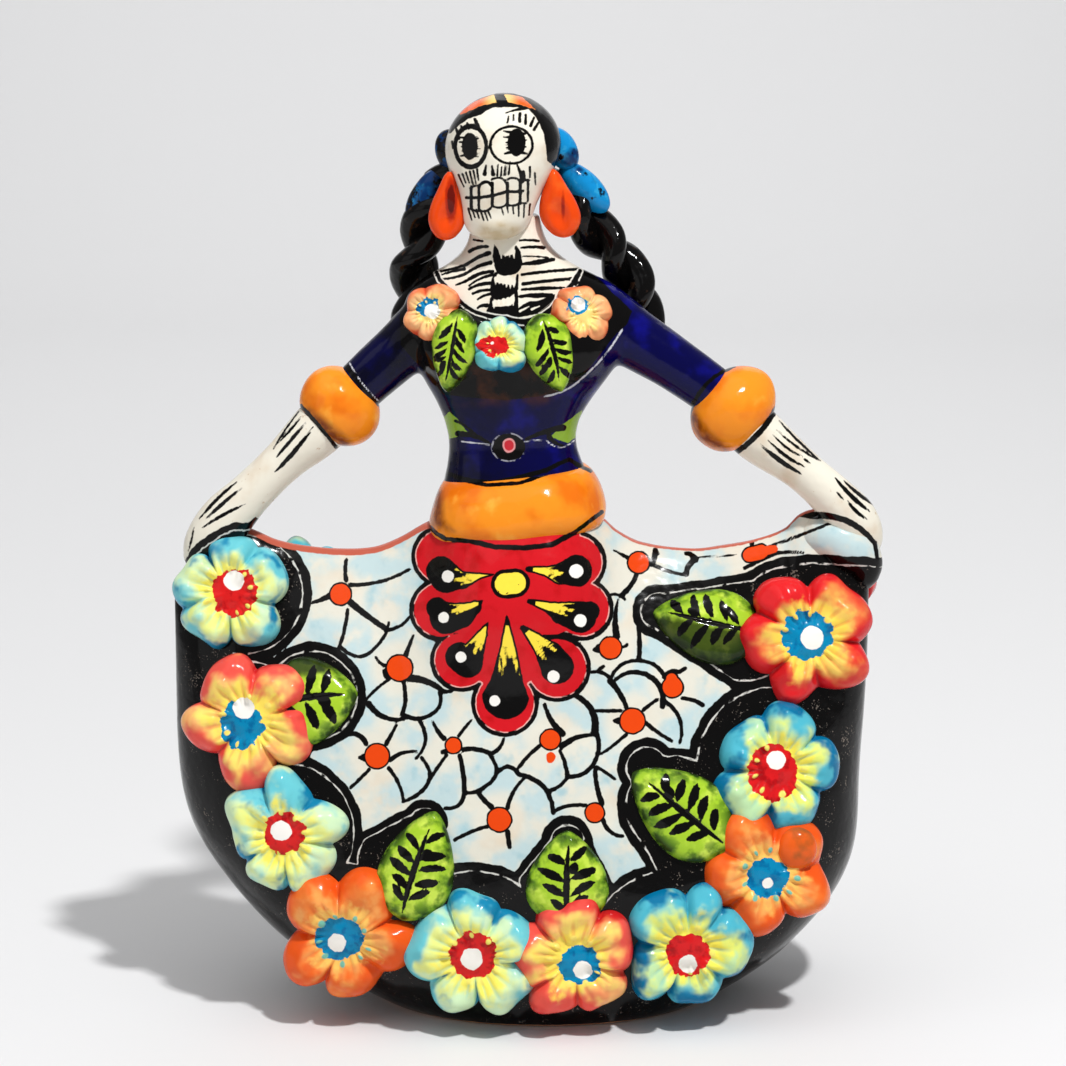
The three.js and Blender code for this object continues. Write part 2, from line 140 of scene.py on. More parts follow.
bpy.context.scene.view_settings.view_transform = "Standard"
make_room()
make_floor()
lamp("sun_side", (0.53, -0.92, 1.85), (0, 0, 0.15), 34, 0.12)
lamp("soft_top", (-0.6, -0.6, 2.4), (0, 0, 0.15), 15, 2.6)
lamp("soft_left", (-1.9, -1.2, 0.8), (0, 0, 0.15), 4, 1.5)
lamp("backdrop", (0, 1.5, 1.0), (0, 1.5, 0), 4.7, 1.5)

# %% [markdown]
# A few helpers serve every piece. `through` draws a smooth curve through measured pairs, as a
# thin batten would. `lumps` is the slight unevenness that fingers leave. `rings_to_solid` closes
# a row of rings into a skin, and turns it the right way out by the sign of its volume.

# %% Helpers for shapes
def through(pairs):
    """A smooth function through (input, value) pairs, level beyond both ends."""
    places, values = (np.array(column, float) for column in zip(*pairs))
    before = np.maximum(np.arange(len(places)) - 1, 0)
    after = np.minimum(np.arange(len(places)) + 1, len(places) - 1)
    slopes = (values[after] - values[before]) / (places[after] - places[before])

    def value_at(place):
        place = np.clip(place, places[0], places[-1])
        left = np.clip(np.searchsorted(places, place, side="right") - 1, 0, len(places) - 2)
        width = places[left + 1] - places[left]
        t = (place - places[left]) / width
        rise = 3 * t**2 - 2 * t**3
        bend = slopes[left] * (t**3 - 2 * t**2 + t) + slopes[left + 1] * (t**3 - t**2)
        return values[left] + (values[left + 1] - values[left]) * rise + width * bend

    return value_at

def ease(value, low, high):
    """0 below low, 1 above high, and a smooth step between."""
    t = np.clip((value - low) / (high - low), 0, 1)
    return t * t * (3 - 2 * t)

def rounded(angle, squareness):
    """Across and inward on an outline between an ellipse and a box."""
    bend = lambda value: np.sign(value) * np.abs(value) ** (2 / squareness)
    return bend(np.cos(angle)), bend(np.sin(angle))

def turns(columns):
    """Angles of a ring's points, as one row."""
    return np.linspace(0, 2 * math.pi, columns, endpoint=False)[None, :]

def lumps(points, size, seed):
    """Waves of about one size in mm, from -1 to 1, as fingers leave them."""
    random = np.random.default_rng(seed)
    total = np.zeros(points.shape[:-1])
    for _ in range(7):
        direction = random.normal(size=3)
        direction /= np.linalg.norm(direction)
        wave = points @ direction * 2 * math.pi / (size * random.uniform(0.7, 1.5))
        total += np.sin(wave + random.uniform(0, 2 * math.pi))
    return total / 3.5

def ring_faces(rows, columns, first=0):
    """Four-sided faces between rings that follow each other, each ring closed."""
    row, column = np.meshgrid(np.arange(rows - 1), np.arange(columns), indexing="ij")
    a = first + row * columns + column
    b = first + row * columns + (column + 1) % columns
    return np.stack([a, b, b + columns, a + columns], -1).reshape(-1, 4).tolist()

def fan_faces(ring, pole):
    return [(pole, ring[k], ring[(k + 1) % len(ring)]) for k in range(len(ring))]

def volume(points, faces):
    total = 0.0
    for corners in (3, 4):
        chosen = np.array([face for face in faces if len(face) == corners]).reshape(-1, corners)
        for k in range(1, corners - 1):
            a, b, c = (points[chosen[:, place]] for place in (0, k, k + 1))
            total += np.einsum("ij,ij->i", a, np.cross(b, c)).sum() / 6
    return total

def add_piece(name, points, faces):
    """A smooth-shaded mesh piece from points in mm, with its faces turned outward."""
    points = np.asarray(points, float)
    if volume(points, faces) < 0:
        faces = [face[::-1] for face in faces]
    mesh = bpy.data.meshes.new(name)
    mesh.from_pydata((points * MM).tolist(), [], faces)
    mesh.polygons.foreach_set("use_smooth", np.ones(len(mesh.polygons), bool))
    return new_object(name, mesh)

def rings_to_solid(name, rings):
    """A closed skin over rings, an array of rows, columns and x, y, z, with a pole at each end."""
    rows, columns, _ = rings.shape
    poles = np.array([rings[0].mean(0), rings[-1].mean(0)])
    points = np.concatenate([rings.reshape(-1, 3), poles])
    faces = ring_faces(rows, columns)
    faces += fan_faces(list(range(columns))[::-1], rows * columns)
    faces += fan_faces(list(range((rows - 1) * columns, rows * columns)), rows * columns + 1)
    return add_piece(name, points, faces)

def places_of(piece):
    """The piece's points in mm."""
    points = np.empty(3 * len(piece.data.vertices), np.float32)
    piece.data.vertices.foreach_get("co", points)
    return points.reshape(-1, 3).astype(float) / MM

def paint(piece, name, values):
    """Stores one number for each point, which a material reads by its name."""
    layer = piece.data.attributes.get(name) or piece.data.attributes.new(name, "FLOAT", "POINT")
    layer.data.foreach_set("value", np.asarray(values, np.float32))

def paint_where(piece, chosen, **fields):
    """Stores fields that count only where a test is true, and lie far off elsewhere."""
    for name, values in fields.items():
        paint(piece, name, np.where(chosen, values, FAR))

samples = np.random.default_rng(1).normal(size=(99, 3)) * 40
print("a lump field runs from", round(lumps(samples, 20, 3).min(), 2))

# %% [markdown]
# Arithmetic with nodes is easier to read as sums. `Value` wraps a number socket, and +, -, *, / and
# ** add Math nodes to the tree that it belongs to. `add_node` adds any other node and feeds its
# inputs by name. The paint groups, the flower tree and the braid tree are all written with them.

# %% Sums with nodes
class Value:
    """A number socket that ordinary arithmetic joins with Math nodes."""

    def __init__(self, tree, socket):
        self.tree = tree
        self.socket = socket

    def join(self, operation, *others):
        node = self.tree.nodes.new("ShaderNodeMath")
        node.operation = operation
        for place, item in enumerate([self, *others]):
            feed(self.tree, node.inputs[place], item)
        return Value(self.tree, node.outputs[0])

    def eased(self, low, high):
        """0 at low, 1 at high, and a smooth step between."""
        node = self.tree.nodes.new("ShaderNodeMapRange")
        node.interpolation_type = "SMOOTHSTEP"
        for label, item in (("Value", self), ("From Min", low), ("From Max", high)):
            feed(self.tree, node.inputs[label], item)
        return Value(self.tree, node.outputs["Result"])

MATH_NODES = {
    "__add__": "ADD", "__sub__": "SUBTRACT", "__mul__": "MULTIPLY", "__truediv__": "DIVIDE",
    "__pow__": "POWER", "cos": "COSINE", "sin": "SINE", "root": "SQRT", "size": "ABSOLUTE",
    "at_most": "MINIMUM", "at_least": "MAXIMUM",
}
for name, operation in MATH_NODES.items():
    setattr(Value, name, lambda self, *others, operation=operation: self.join(operation, *others))

def feed(tree, socket, item):
    """Joins a socket to a value or to another socket, or sets its plain number."""
    item = item.socket if isinstance(item, Value) else item
    if isinstance(item, bpy.types.NodeSocket):
        tree.links.new(item, socket)
    else:
        socket.default_value = item

def add_node(tree, kind, **inputs):
    """A node with its inputs fed by name, with _ where the name has a space."""
    node = tree.nodes.new(kind)
    for label, item in inputs.items():
        feed(tree, node.inputs[label.replace("_", " ")], item)
    return node

def new_tree(name, kind, inputs, outputs):
    """A node tree with named sockets; returns it with its input and output nodes."""
    tree = bpy.data.node_groups.new(name, kind)
    for direction, sockets in (("INPUT", inputs), ("OUTPUT", outputs)):
        for label, socket_kind, start in sockets:
            socket = tree.interface.new_socket(label, in_out=direction, socket_type=socket_kind)
            if start is not None:
                socket.default_value = start
    return tree, tree.nodes.new("NodeGroupInput"), tree.nodes.new("NodeGroupOutput")

def piece_tree(name, numbers, others=()):
    """A Geometry Nodes tree that grows one piece from named numbers and a paint."""
    inputs = [(label, "NodeSocketFloat", start) for label, start in numbers.items()]
    inputs += [*others, ("Paint", "NodeSocketMaterial", None)]
    return new_tree(name, "GeometryNodeTree", inputs, [("Geometry", "NodeSocketGeometry", None)])

def finish_tree(tree, geometry, given, result):
    """The last nodes of every tree: smooth shading, real geometry and its paint."""
    smooth = add_node(tree, "GeometryNodeSetShadeSmooth", Geometry=geometry)
    real = add_node(tree, "GeometryNodeRealizeInstances", Geometry=smooth.outputs[0])
    paint = given.outputs["Paint"]
    dressed = add_node(tree, "GeometryNodeSetMaterial", Geometry=real.outputs[0], Material=paint)
    feed(tree, result.inputs["Geometry"], dressed.outputs[0])

def grown(name, tree, settings):
    """A plain mesh made by a Geometry Nodes tree with its inputs set by name."""
    holder = new_object(name + "_seed", bpy.data.meshes.new(name + "_seed"))
    modifier = holder.modifiers.new("grow", "NODES")
    modifier.node_group = tree
    for item in tree.interface.items_tree:
        if item.in_out == "INPUT" and item.name in settings:
            modifier[item.identifier] = settings[item.name]
    return freeze(holder, name)

print("sums ready")

# %% [markdown]
# Paint is measured as distance. For each point of the clay, a field says how far it lies from the
# edge of a brush mark, and it is negative inside the mark. Strokes are bowed lines that swell
# from one end to the other, blots are chains of circles, and areas are closed outlines. Each
# field is stored on the mesh, where the paint reads it, so no picture is needed.

# %% Distances for painted shapes
STROKE_STEPS = 6
EDGE_REACH = 6.0

def chain_distance(u, v, chain, reach=EDGE_REACH):
    """Distance to a chain of (right, up, radius) circles with straight sides, negative inside."""
    best = np.full(u.shape, FAR)
    for (u1, v1, r1), (u2, v2, r2) in zip(chain, chain[1:] or chain):
        run, rise = u2 - u1, v2 - v1
        limit = max(r1, r2) + reach
        near = np.abs(u - (u1 + u2) / 2) < abs(run) / 2 + limit
        near &= np.abs(v - (v1 + v2) / 2) < abs(rise) / 2 + limit
        across, up = u[near] - u1, v[near] - v1
        share = np.clip((across * run + up * rise) / max(run**2 + rise**2, 1e-9), 0, 1)
        gap = np.hypot(across - share * run, up - share * rise) - r1 - share * (r2 - r1)
        best[near] = np.minimum(best[near], gap)
    return best

def stroke_chain(u1, v1, u2, v2, bow, wide1, wide2, pointed=0.0):
    """A brush stroke between two ends, bowed to its left, with a full width at each end."""
    share = np.linspace(0, 1, STROKE_STEPS + 1)
    run, rise = u2 - u1, v2 - v1
    arch = 4 * bow * share * (1 - share) / math.hypot(run, rise)
    radius = (wide1 + (wide2 - wide1) * share) / 2 * (1 - pointed * (2 * share - 1) ** 2)
    return list(zip(u1 + run * share - rise * arch, v1 + rise * share + run * arch, radius))

def nearest(fields):
    return np.minimum.reduce(list(fields))

def strokes_distance(u, v, strokes, pointed=0.0):
    return nearest(chain_distance(u, v, stroke_chain(*stroke, pointed)) for stroke in strokes)

def combed(rows):
    """Strokes side by side, from where the first and last start and end, their number and widths."""
    strokes = []
    for start1, start2, end1, end2, count, *widths in rows:
        for number, share in enumerate(np.linspace(0, 1, count)):
            start = np.array(start1) + share * (np.array(start2) - start1)
            end = np.array(end1) + share * (np.array(end2) - end1)
            end = start + (end - start) * (0.85 + 0.2 * math.sin(5 * number))
            strokes.append((*start, *end, 0, *widths))
    return strokes

def blots_distance(u, v, chains, reach=EDGE_REACH):
    return nearest(chain_distance(u, v, chain, reach) for chain in chains)

def line_distance(u, v, corners, wide):
    """Distance to a brush line of one width through (right, up) corners."""
    return chain_distance(u, v, [(*corner, wide / 2) for corner in corners])

def area_distance(u, v, corners):
    """Distance to the edge of a closed outline, negative inside it."""
    ring = [(*corner, 0) for corner in (*corners, corners[0])]
    edge = chain_distance(u, v, ring, FAR)
    inside = np.zeros(u.shape, bool)
    for (u1, v1, _), (u2, v2, _) in zip(ring, ring[1:]):
        if v1 != v2:
            inside ^= ((v1 > v) != (v2 > v)) & (u < u1 + (v - v1) * (u2 - u1) / (v2 - v1))
    return np.where(inside, -edge, edge)

def areas_distance(u, v, outlines):
    return nearest(area_distance(u, v, corners) for corners in outlines)

def oval_distance(u, v, u0, v0, wide, high):
    """Rough distance to an oval given by its half-width and half-height."""
    return (np.hypot((u - u0) / wide, (v - v0) / high) - 1) * math.sqrt(wide * high)

print("a stroke has", len(stroke_chain(0, 0, 9, 0, 1, 2, 1)), "circles")

# %% [markdown]
# Four small node groups are the painter's habits. `brushed_edge` turns a distance into a mark
# whose edge wavers a little. `mottle` thins a wash in patches. `flecks` are pinholes and scuffs.
# `clear_glaze` is the last coat, which pools and ripples: it gives the roughness and the height.

# %% Painter's node groups
def noise_of(tree, size, detail=2.0):
    """Soft noise from 0 to 1 on the piece's own coordinates; its size is in mm."""
    place = tree.nodes.new("ShaderNodeTexCoord").outputs["Object"]
    noise = add_node(tree, "ShaderNodeTexNoise", Vector=place, Scale=size**-1 * (1 / MM), Detail=detail)
    return Value(tree, noise.outputs["Fac"])

def new_group(name, inputs, outputs):
    """A shader node group; returns it with its inputs as values and its output node."""
    taken = [(label, "NodeSocketFloat", start) for label, start in inputs]
    returned = [(label, "NodeSocketFloat", None) for label in outputs]
    tree, given, result = new_tree(name, "ShaderNodeTree", taken, returned)
    return tree, [Value(tree, given.outputs[label]) for label, _ in inputs], result

def give(tree, value, result, label):
    tree.links.new(value.socket, result.inputs[label])

def make_brushed_edge():
    inputs = [("Distance", 0.0), ("Wobble", 0.2), ("Wave", 2.0), ("Softness", 0.14)]
    tree, (distance, wobble, wave, softness), result = new_group("brushed_edge", inputs, ["Mask"])
    edge = distance + (noise_of(tree, wave, 3) - 0.5) * wobble * 2
    give(tree, edge.eased(softness, softness * -1), result, "Mask")
    return tree

def make_mottle():
    inputs = [("Size", 9.0), ("Low", 0.45), ("High", 0.6)]
    tree, (size, low, high), result = new_group("mottle", inputs, ["Mask"])
    give(tree, noise_of(tree, size, 3).eased(low, high), result, "Mask")
    return tree

def make_flecks():
    tree, (size, amount), result = new_group("flecks", [("Size", 0.8), ("Amount", 0.5)], ["Mask"])
    grain = noise_of(tree, size, 4) + noise_of(tree, size * 9, 1) * 0.5
    limit = amount * -0.3 + 1.03
    give(tree, grain.eased(limit, limit + 0.03), result, "Mask")
    return tree

def make_clear_glaze():
    inputs = [("Gloss", 0.12), ("Wave", 4.0), ("Ripple", 1.0)]
    tree, (gloss, wave, ripple), result = new_group("clear_glaze", inputs, ["Roughness", "Height"])
    swell = noise_of(tree, wave, 1)
    fine = noise_of(tree, 0.7, 2)
    give(tree, gloss * (swell * 0.7 + fine * 0.3 + 0.5), result, "Roughness")
    give(tree, (swell + fine * 0.07) * ripple, result, "Height")
    return tree

BRUSHED_EDGE = make_brushed_edge()
MOTTLE = make_mottle()
FLECKS = make_flecks()
CLEAR_GLAZE = make_clear_glaze()
print("groups", [tree.name for tree in (BRUSHED_EDGE, MOTTLE, FLECKS, CLEAR_GLAZE)])

# %% [markdown]
# `Finish` paints one material from the ground up. Each `lay` puts a colour over what is there,
# where its mask is 1; a `wash` lies in soft patches, and a `brush` fills a stored mark. At the end
# the clear glaze goes on: a smooth coat over the colours, with its plain numbers on the shader
# itself, and only the changing roughness and height joined in.

# %% Layers of paint
GLAZE_DEPTH = 0.00022
BLACK = (8, 7, 7)
BONE = (236, 230, 214)
BONE_SHADE = (222, 206, 183)
WHITE = (246, 243, 236)

def glaze(colour):
    """A linear colour from what the eye sees on the fired clay, 0 to 255."""
    shares = [value / 255 for value in colour]
    return (*(((share + 0.055) / 1.055) ** 2.4 if share > 0.04 else share / 12.92 for share in shares), 1)

class Finish:
    """A glazed paint built up in layers."""

    def __init__(self, name, ground):
        self.material = bpy.data.materials.new(name)
        self.material.use_nodes = True
        self.tree = self.material.node_tree
        self.shader = self.tree.nodes["Principled BSDF"]
        self.surface = glaze(ground)

    def read(self, name):
        """A number stored on the mesh."""
        node = self.tree.nodes.new("ShaderNodeAttribute")
        node.attribute_name = name
        return Value(self.tree, node.outputs["Fac"])

    def use(self, group, output="Mask", **settings):
        node = self.tree.nodes.new("ShaderNodeGroup")
        node.node_tree = group
        for label, item in settings.items():
            feed(self.tree, node.inputs[label], item)
        return Value(self.tree, node.outputs[output])

    def mark(self, name, grow=0.0, **settings):
        """Where a stored distance, made larger by grow mm, is inside a brush mark."""
        return self.use(BRUSHED_EDGE, Distance=self.read(name) - grow, **settings)

    def mottle(self, size, low, high):
        return self.use(MOTTLE, Size=size, Low=low, High=high)

    def lay(self, colour, mask):
        mix = self.tree.nodes.new("ShaderNodeMix")
        mix.data_type = "RGBA"
        sockets = {socket.identifier: socket for socket in (*mix.inputs, *mix.outputs)}
        for label, item in (("Factor_Float", mask), ("A_Color", self.surface), ("B_Color", glaze(colour))):
            feed(self.tree, sockets[label], item)
        self.surface = sockets["Result_Color"]

    def wash(self, colour, size, low, high):
        """Lays a colour in soft patches of about one size in mm."""
        self.lay(colour, self.mottle(size, low, high))

    def brush(self, colour, name, grow=0.0, wobble=0.2, wave=2.0):
        """Lays a colour inside a stored brush mark."""
        self.lay(colour, self.mark(name, grow, Wobble=wobble, Wave=wave))

    def coat(self, gloss=0.16, wave=4.0, ripple=1.0):
        """Puts the clear glaze on and returns the finished material."""
        skin = self.use(CLEAR_GLAZE, "Roughness", Gloss=gloss, Wave=wave, Ripple=ripple)
        height = skin.socket.node.outputs["Height"]
        bump = add_node(self.tree, "ShaderNodeBump", Distance=GLAZE_DEPTH, Strength=1.0, Height=height)
        looks = {
            "Base Color": self.surface, "Roughness": skin, "Normal": bump.outputs["Normal"],
            "Specular IOR Level": 0.1, "Coat Weight": 0.2, "Coat Roughness": 0.03, "Coat IOR": 1.44,
        }
        for label, item in looks.items():
            feed(self.tree, self.shader.inputs[label], item)
        return self.material

def dress(piece, material):
    piece.data.materials.clear()
    piece.data.materials.append(material)

print("paints start from bone white", [round(value, 2) for value in glaze(BONE)])

# %% [markdown]
# The skirt is one slab of clay drawn up round the body: an oval foot, sides that stand upright
# from the middle up, and a rim that dips beside the waist and lifts at both hands. A surface of
# revolution can't do that, so it is lofted: each level is a rounded oval with its own width and
# depth, and the height of the rim at each x scales the levels. The front carries brush lines
# about a millimetre wide, so its mesh is fine there, and coarser at the back and the foot.

# %% The skirt's form
SKIRT_HALF_WIDTH = 114.5
FOOT_HALF_WIDTH = 55.0
UPRIGHT_HEIGHT = 95.0
SIDE_HEIGHT = 157.0
SIDE_TAPER = 3.1
FOOT_CENTRE = 5.0
TOP_CENTRE = -2.5
rim_height = through([
    (-117, 138), (-112.5, 146), (-107, 153.5), (-101, 157.8), (-95, 158.5), (-90, 157), (-83.5, 154),
    (-75, 152), (-62.5, 150.8), (-51, 151.4), (-42.5, 154.6), (-34, 159.5), (-24, 163.5), (-4, 166),
    (19, 165), (24, 161.5), (29, 157), (37, 153), (53.5, 150.8), (64, 152), (74.5, 154), (84, 157.6),
    (89, 162.5), (96, 164.5), (104, 164), (111, 160.5), (117, 156),
])
front_depth = through([
    (0, 42), (0.03, 45), (0.16, 50), (0.32, 49), (0.5, 42), (0.68, 31.5), (0.82, 21), (0.92, 11.5),
    (0.97, 6.5),
])
back_depth = through([
    (0, 42), (0.03, 44), (0.16, 46), (0.32, 43), (0.5, 36), (0.68, 26.5), (0.82, 17.5), (0.92, 10), (0.97, 6),
])
LIP_SHARE = 0.97
FOOT_ROUND = 1.6
RIGHT_HOLLOW = {"depth": 1.6, "share": 0.45, "reach": 0.15}
WAIST_SWELL = {"depth": 15.5, "x": -4, "reach": 25, "start": 0.6, "full": 0.93}

def right_hollow(share):
    """Half of the width that the right side draws in between foot and middle."""
    return RIGHT_HOLLOW["depth"] * np.exp(-(((share - RIGHT_HOLLOW["share"]) / RIGHT_HOLLOW["reach"]) ** 2))

def skirt_half_width(share):
    climb = np.minimum(SIDE_HEIGHT * share / UPRIGHT_HEIGHT, 1)
    widening = (SKIRT_HALF_WIDTH - FOOT_HALF_WIDTH) * (1 - (1 - climb) ** SIDE_TAPER)
    return FOOT_HALF_WIDTH + widening - right_hollow(share)

def skirt_centre(share):
    return FOOT_CENTRE + (TOP_CENTRE - FOOT_CENTRE) * ease(share, 0, 0.68) - right_hollow(share)

def skirt_depth(share, side):
    """Half-depth in front (side -1) or behind, closing to a rounded lip at the rim."""
    depth = np.where(side < 0, front_depth(share), back_depth(share))
    lip = np.sqrt(np.clip((1 - share) / (1 - LIP_SHARE), 0, 1))
    return depth * lip

def waist_swell(x, share):
    rise = ease(share, WAIST_SWELL["start"], WAIST_SWELL["full"])
    lip = np.sqrt(np.clip((1 - share) / (1 - LIP_SHARE), 0, 1))
    return WAIST_SWELL["depth"] * rise * lip * np.exp(-(((x - WAIST_SWELL["x"]) / WAIST_SWELL["reach"]) ** 4))

def skirt_place(across, inward, share, side):
    """A point of the skirt: across from -1 to 1, inward from 0 at the sides to 1 in the middle."""
    x = skirt_centre(share) + skirt_half_width(share) * across
    y = side * (skirt_depth(share, side) * inward + waist_swell(x, share))
    z = rim_height(x) * share
    tuck = FOOT_ROUND - np.sqrt(np.maximum(FOOT_ROUND**2 - np.clip(FOOT_ROUND - z, 0, None) ** 2, 0))
    x = x - tuck * across
    y = y - side * tuck * inward
    places = np.stack([x, y, z], -1)
    places[..., 1] += side * 0.35 * lumps(places, 26, 4) * np.minimum(inward * 2, 1) * ease(share, 0.02, 0.1)
    return places

def spread(travel, density, steps):
    """Shares of a path at steps whose length falls where the density is high."""
    amount = np.concatenate([[0], np.cumsum(0.5 * (density[1:] + density[:-1]) * np.diff(travel))])
    wanted = np.linspace(0, amount[-1], steps + 1)
    return np.interp(wanted, amount, np.linspace(0, 1, len(travel)))

FRONT_COLUMNS = 360
BACK_COLUMNS = 120
FINE_STEP = 0.64
COARSE_STEP = 1.6
FINE_FROM, FINE_TO = -80.0, 82.0

def front_angles():
    """Angles round the front whose columns are close together over the painted field."""
    angle = np.linspace(math.pi, 2 * math.pi, 4000)
    across, inward = rounded(angle, 2.4)
    x = TOP_CENTRE + SKIRT_HALF_WIDTH * across
    y = 40 * inward
    travel = np.concatenate([[0], np.cumsum(np.hypot(np.diff(x), np.diff(y)))])
    fine = ease(x, FINE_FROM - 8, FINE_FROM) * (1 - ease(x, FINE_TO, FINE_TO + 8))
    density = 1 / (COARSE_STEP + (FINE_STEP - COARSE_STEP) * fine)
    return math.pi + math.pi * spread(travel, density, FRONT_COLUMNS)

def skirt_shares():
    """Levels from the foot to the rim: rounded foot, coarse hem, fine field and rounded lip."""
    foot = np.array([0, 0.0012, 0.0035, 0.007, 0.011])
    hem = np.linspace(0.017, 0.26, 28)
    field = np.linspace(0.26, LIP_SHARE, 186)[1:]
    lip = 1 - (1 - LIP_SHARE) * (1 - np.linspace(0, 1, 10)[1:]) ** 2
    shares = np.concatenate([foot, hem, field, lip])
    return shares if len(shares) % 2 else np.delete(shares, 20)

def make_skirt():
    shares = skirt_shares()
    rows = len(shares)
    angles = front_angles()
    squareness = 2.15 + 0.55 * shares[:, None]
    across, inward = rounded(angles[None, :], squareness)
    front = skirt_place(across, np.abs(inward), shares[:, None] + 0 * across, -1)
    across, inward = rounded(angles[None, ::3], squareness)
    back = skirt_place(across, np.abs(inward), shares[:, None] + 0 * across, 1)[::2]
    columns = FRONT_COLUMNS + 1
    inner = BACK_COLUMNS - 1
    back_rows = len(back) - 1
    points = [front.reshape(-1, 3), back[:-1, 1:-1].reshape(-1, 3)]
    at_front = lambda row, column: row * columns + column
    first_back = rows * columns

    def at_back(row, column):
        if row == back_rows:
            return at_front(rows - 1, 3 * column)
        if column in (0, BACK_COLUMNS):
            return at_front(2 * row, 3 * column)
        return first_back + row * inner + column - 1

    row, column = np.meshgrid(np.arange(rows - 1), np.arange(FRONT_COLUMNS), indexing="ij")
    corner = row * columns + column
    faces = np.stack([corner, corner + 1, corner + 1 + columns, corner + columns], -1).reshape(-1, 4).tolist()
    for r in range(back_rows):
        for c in range(BACK_COLUMNS):
            edge = [at_back(r, c + 1), at_back(r, c)]
            if c == 0:
                edge.append(at_front(2 * r + 1, 0))
            if r == back_rows - 1:
                edge += [at_front(rows - 1, 3 * c + k) for k in range(4)]
            else:
                edge += [at_back(r + 1, c), at_back(r + 1, c + 1)]
            if c == BACK_COLUMNS - 1:
                edge.append(at_front(2 * r + 1, FRONT_COLUMNS))
            start = 1 if c == BACK_COLUMNS - 1 else 0
            edge = edge[start:] + edge[:start]
            if len(edge) == 4:
                faces.append(tuple(edge))
            else:
                faces += [(edge[0], edge[k], edge[k + 1]) for k in range(1, len(edge) - 1)]
    foot = [at_front(0, k) for k in range(columns)]
    foot += [at_back(0, k) for k in range(BACK_COLUMNS - 1, 0, -1)]
    points.append(np.array([[FOOT_CENTRE, 0, 0]]))
    points = np.concatenate(points)
    faces += fan_faces(foot[::-1], len(points) - 1)
    return add_piece("skirt", points, faces)

skirt = make_skirt()
print("skirt", len(skirt.data.polygons), "faces")

# %% [markdown]
# Flowers and leaves sit where the solid has them: on the skirt they lean half-way between its
# slope and the viewer, and on the bust they face a direction of their own.

# %% Places on the skirt
def skirt_point(x, z, side):
    share = min(z / float(rim_height(x)), 1)
    squareness = 2.15 + 0.55 * share
    across = min(abs(x - float(skirt_centre(share))) / float(skirt_half_width(share)), 0.999)
    depth = float(skirt_depth(share, side)) * (1 - across**squareness) ** (1 / squareness)
    return np.array([x, side * (depth + float(waist_swell(x, share))), z])

def skirt_facing(x, z, side, follow):
    """Outward at a point of the skirt; follow is 1 for its own slope and 0 for squarely outward."""
    step = 0.5
    along = skirt_point(x + step, z, side) - skirt_point(x - step, z, side)
    upward = skirt_point(x, z + step, side) - skirt_point(x, z - step, side)
    slope = np.cross(along, upward)
    slope *= np.sign(slope[1] * side) / np.linalg.norm(slope)
    facing = follow * slope + (1 - follow) * np.array([0, side, 0.12])
    return facing / np.linalg.norm(facing)

def stand(at, facing, turn):
    """A matrix in metres that lays a pressed-on piece at a place, facing out, its tip turned."""
    out = np.array(facing, float) / np.linalg.norm(facing)
    right = np.cross([0, 0, 1], out)
    right /= np.linalg.norm(right)
    up = np.cross(out, right)
    angle = math.radians(turn)
    first = right * math.cos(angle) + up * math.sin(angle)
    second = up * math.cos(angle) - right * math.sin(angle)
    matrix = Matrix([[*map(float, row), 0] for row in np.stack([first, second, out], 1)] + [[0, 0, 0, 1]])
    matrix.translation = Vector([float(value) * MM for value in at])
    return matrix

FRONT_FLOWERS = [
    (-97, 138.5, 19.9, 92), (-90.2, 99.3, 21.8, 46), (-78.7, 64.1, 21.3, 94), (-58.8, 32.2, 23, 65),
    (-17.8, 27.9, 21.6, 96), (14.6, 27.2, 21.4, 94), (50.5, 29.6, 22.2, 69), (76.3, 52.2, 22.6, 40),
    (80, 85, 22, 76), (90.5, 124.9, 22.9, 42),
]
BACK_FLOWERS = [(-76, 135.5, 18, 90), (97, 136, 19.5, 80), (4, 40, 20, 90)]
BUST_FLOWERS = [
    ((-31.3, -13.5, 230.9), 9.8, 60, (-0.25, -0.95, 0.2)),
    ((16.8, -13.5, 230.2), 10.2, 100, (0.2, -0.95, 0.25)), ((-9.6, -18.5, 221), 9.8, 90, (0, -0.95, 0.3)),
]
FRONT_LEAVES = [
    (-69.3, 106.5, 28, 28, 10), (-35.5, 56.5, 37, 24, 74), (12.3, 53, 31, 26, 90), (49, 73, 40, 26, 140),
    (57.8, 129, 36, 24.5, 168),
]
BACK_LEAVES = [(-49, 132, 27, 17, 20), (-24, 46, 32, 20, 20), (32, 46, 32, 20, 160), (68, 133, 30, 20, 175)]
BUST_LEAVES = [
    ((-24, -18.5, 219.5), 27, 14.5, 262, (-0.2, -0.97, 0.12)),
    ((6.8, -18.5, 218.8), 26, 16, 285, (0.15, -0.97, 0.15)),
]
print("places for", len(FRONT_FLOWERS), "front flowers")

# %% [markdown]
# The skirt carries the picture: a pale field of outlined blossoms with orange middles, a black
# hem that wraps each pressed flower, and a red apron with seven black drops. The blossom lines
# are single strokes of a liner brush, listed petal by petal. The hem is a row of blots round the
# flowers, so its scalloped edge follows them, and the black runs on down the sides and the foot.

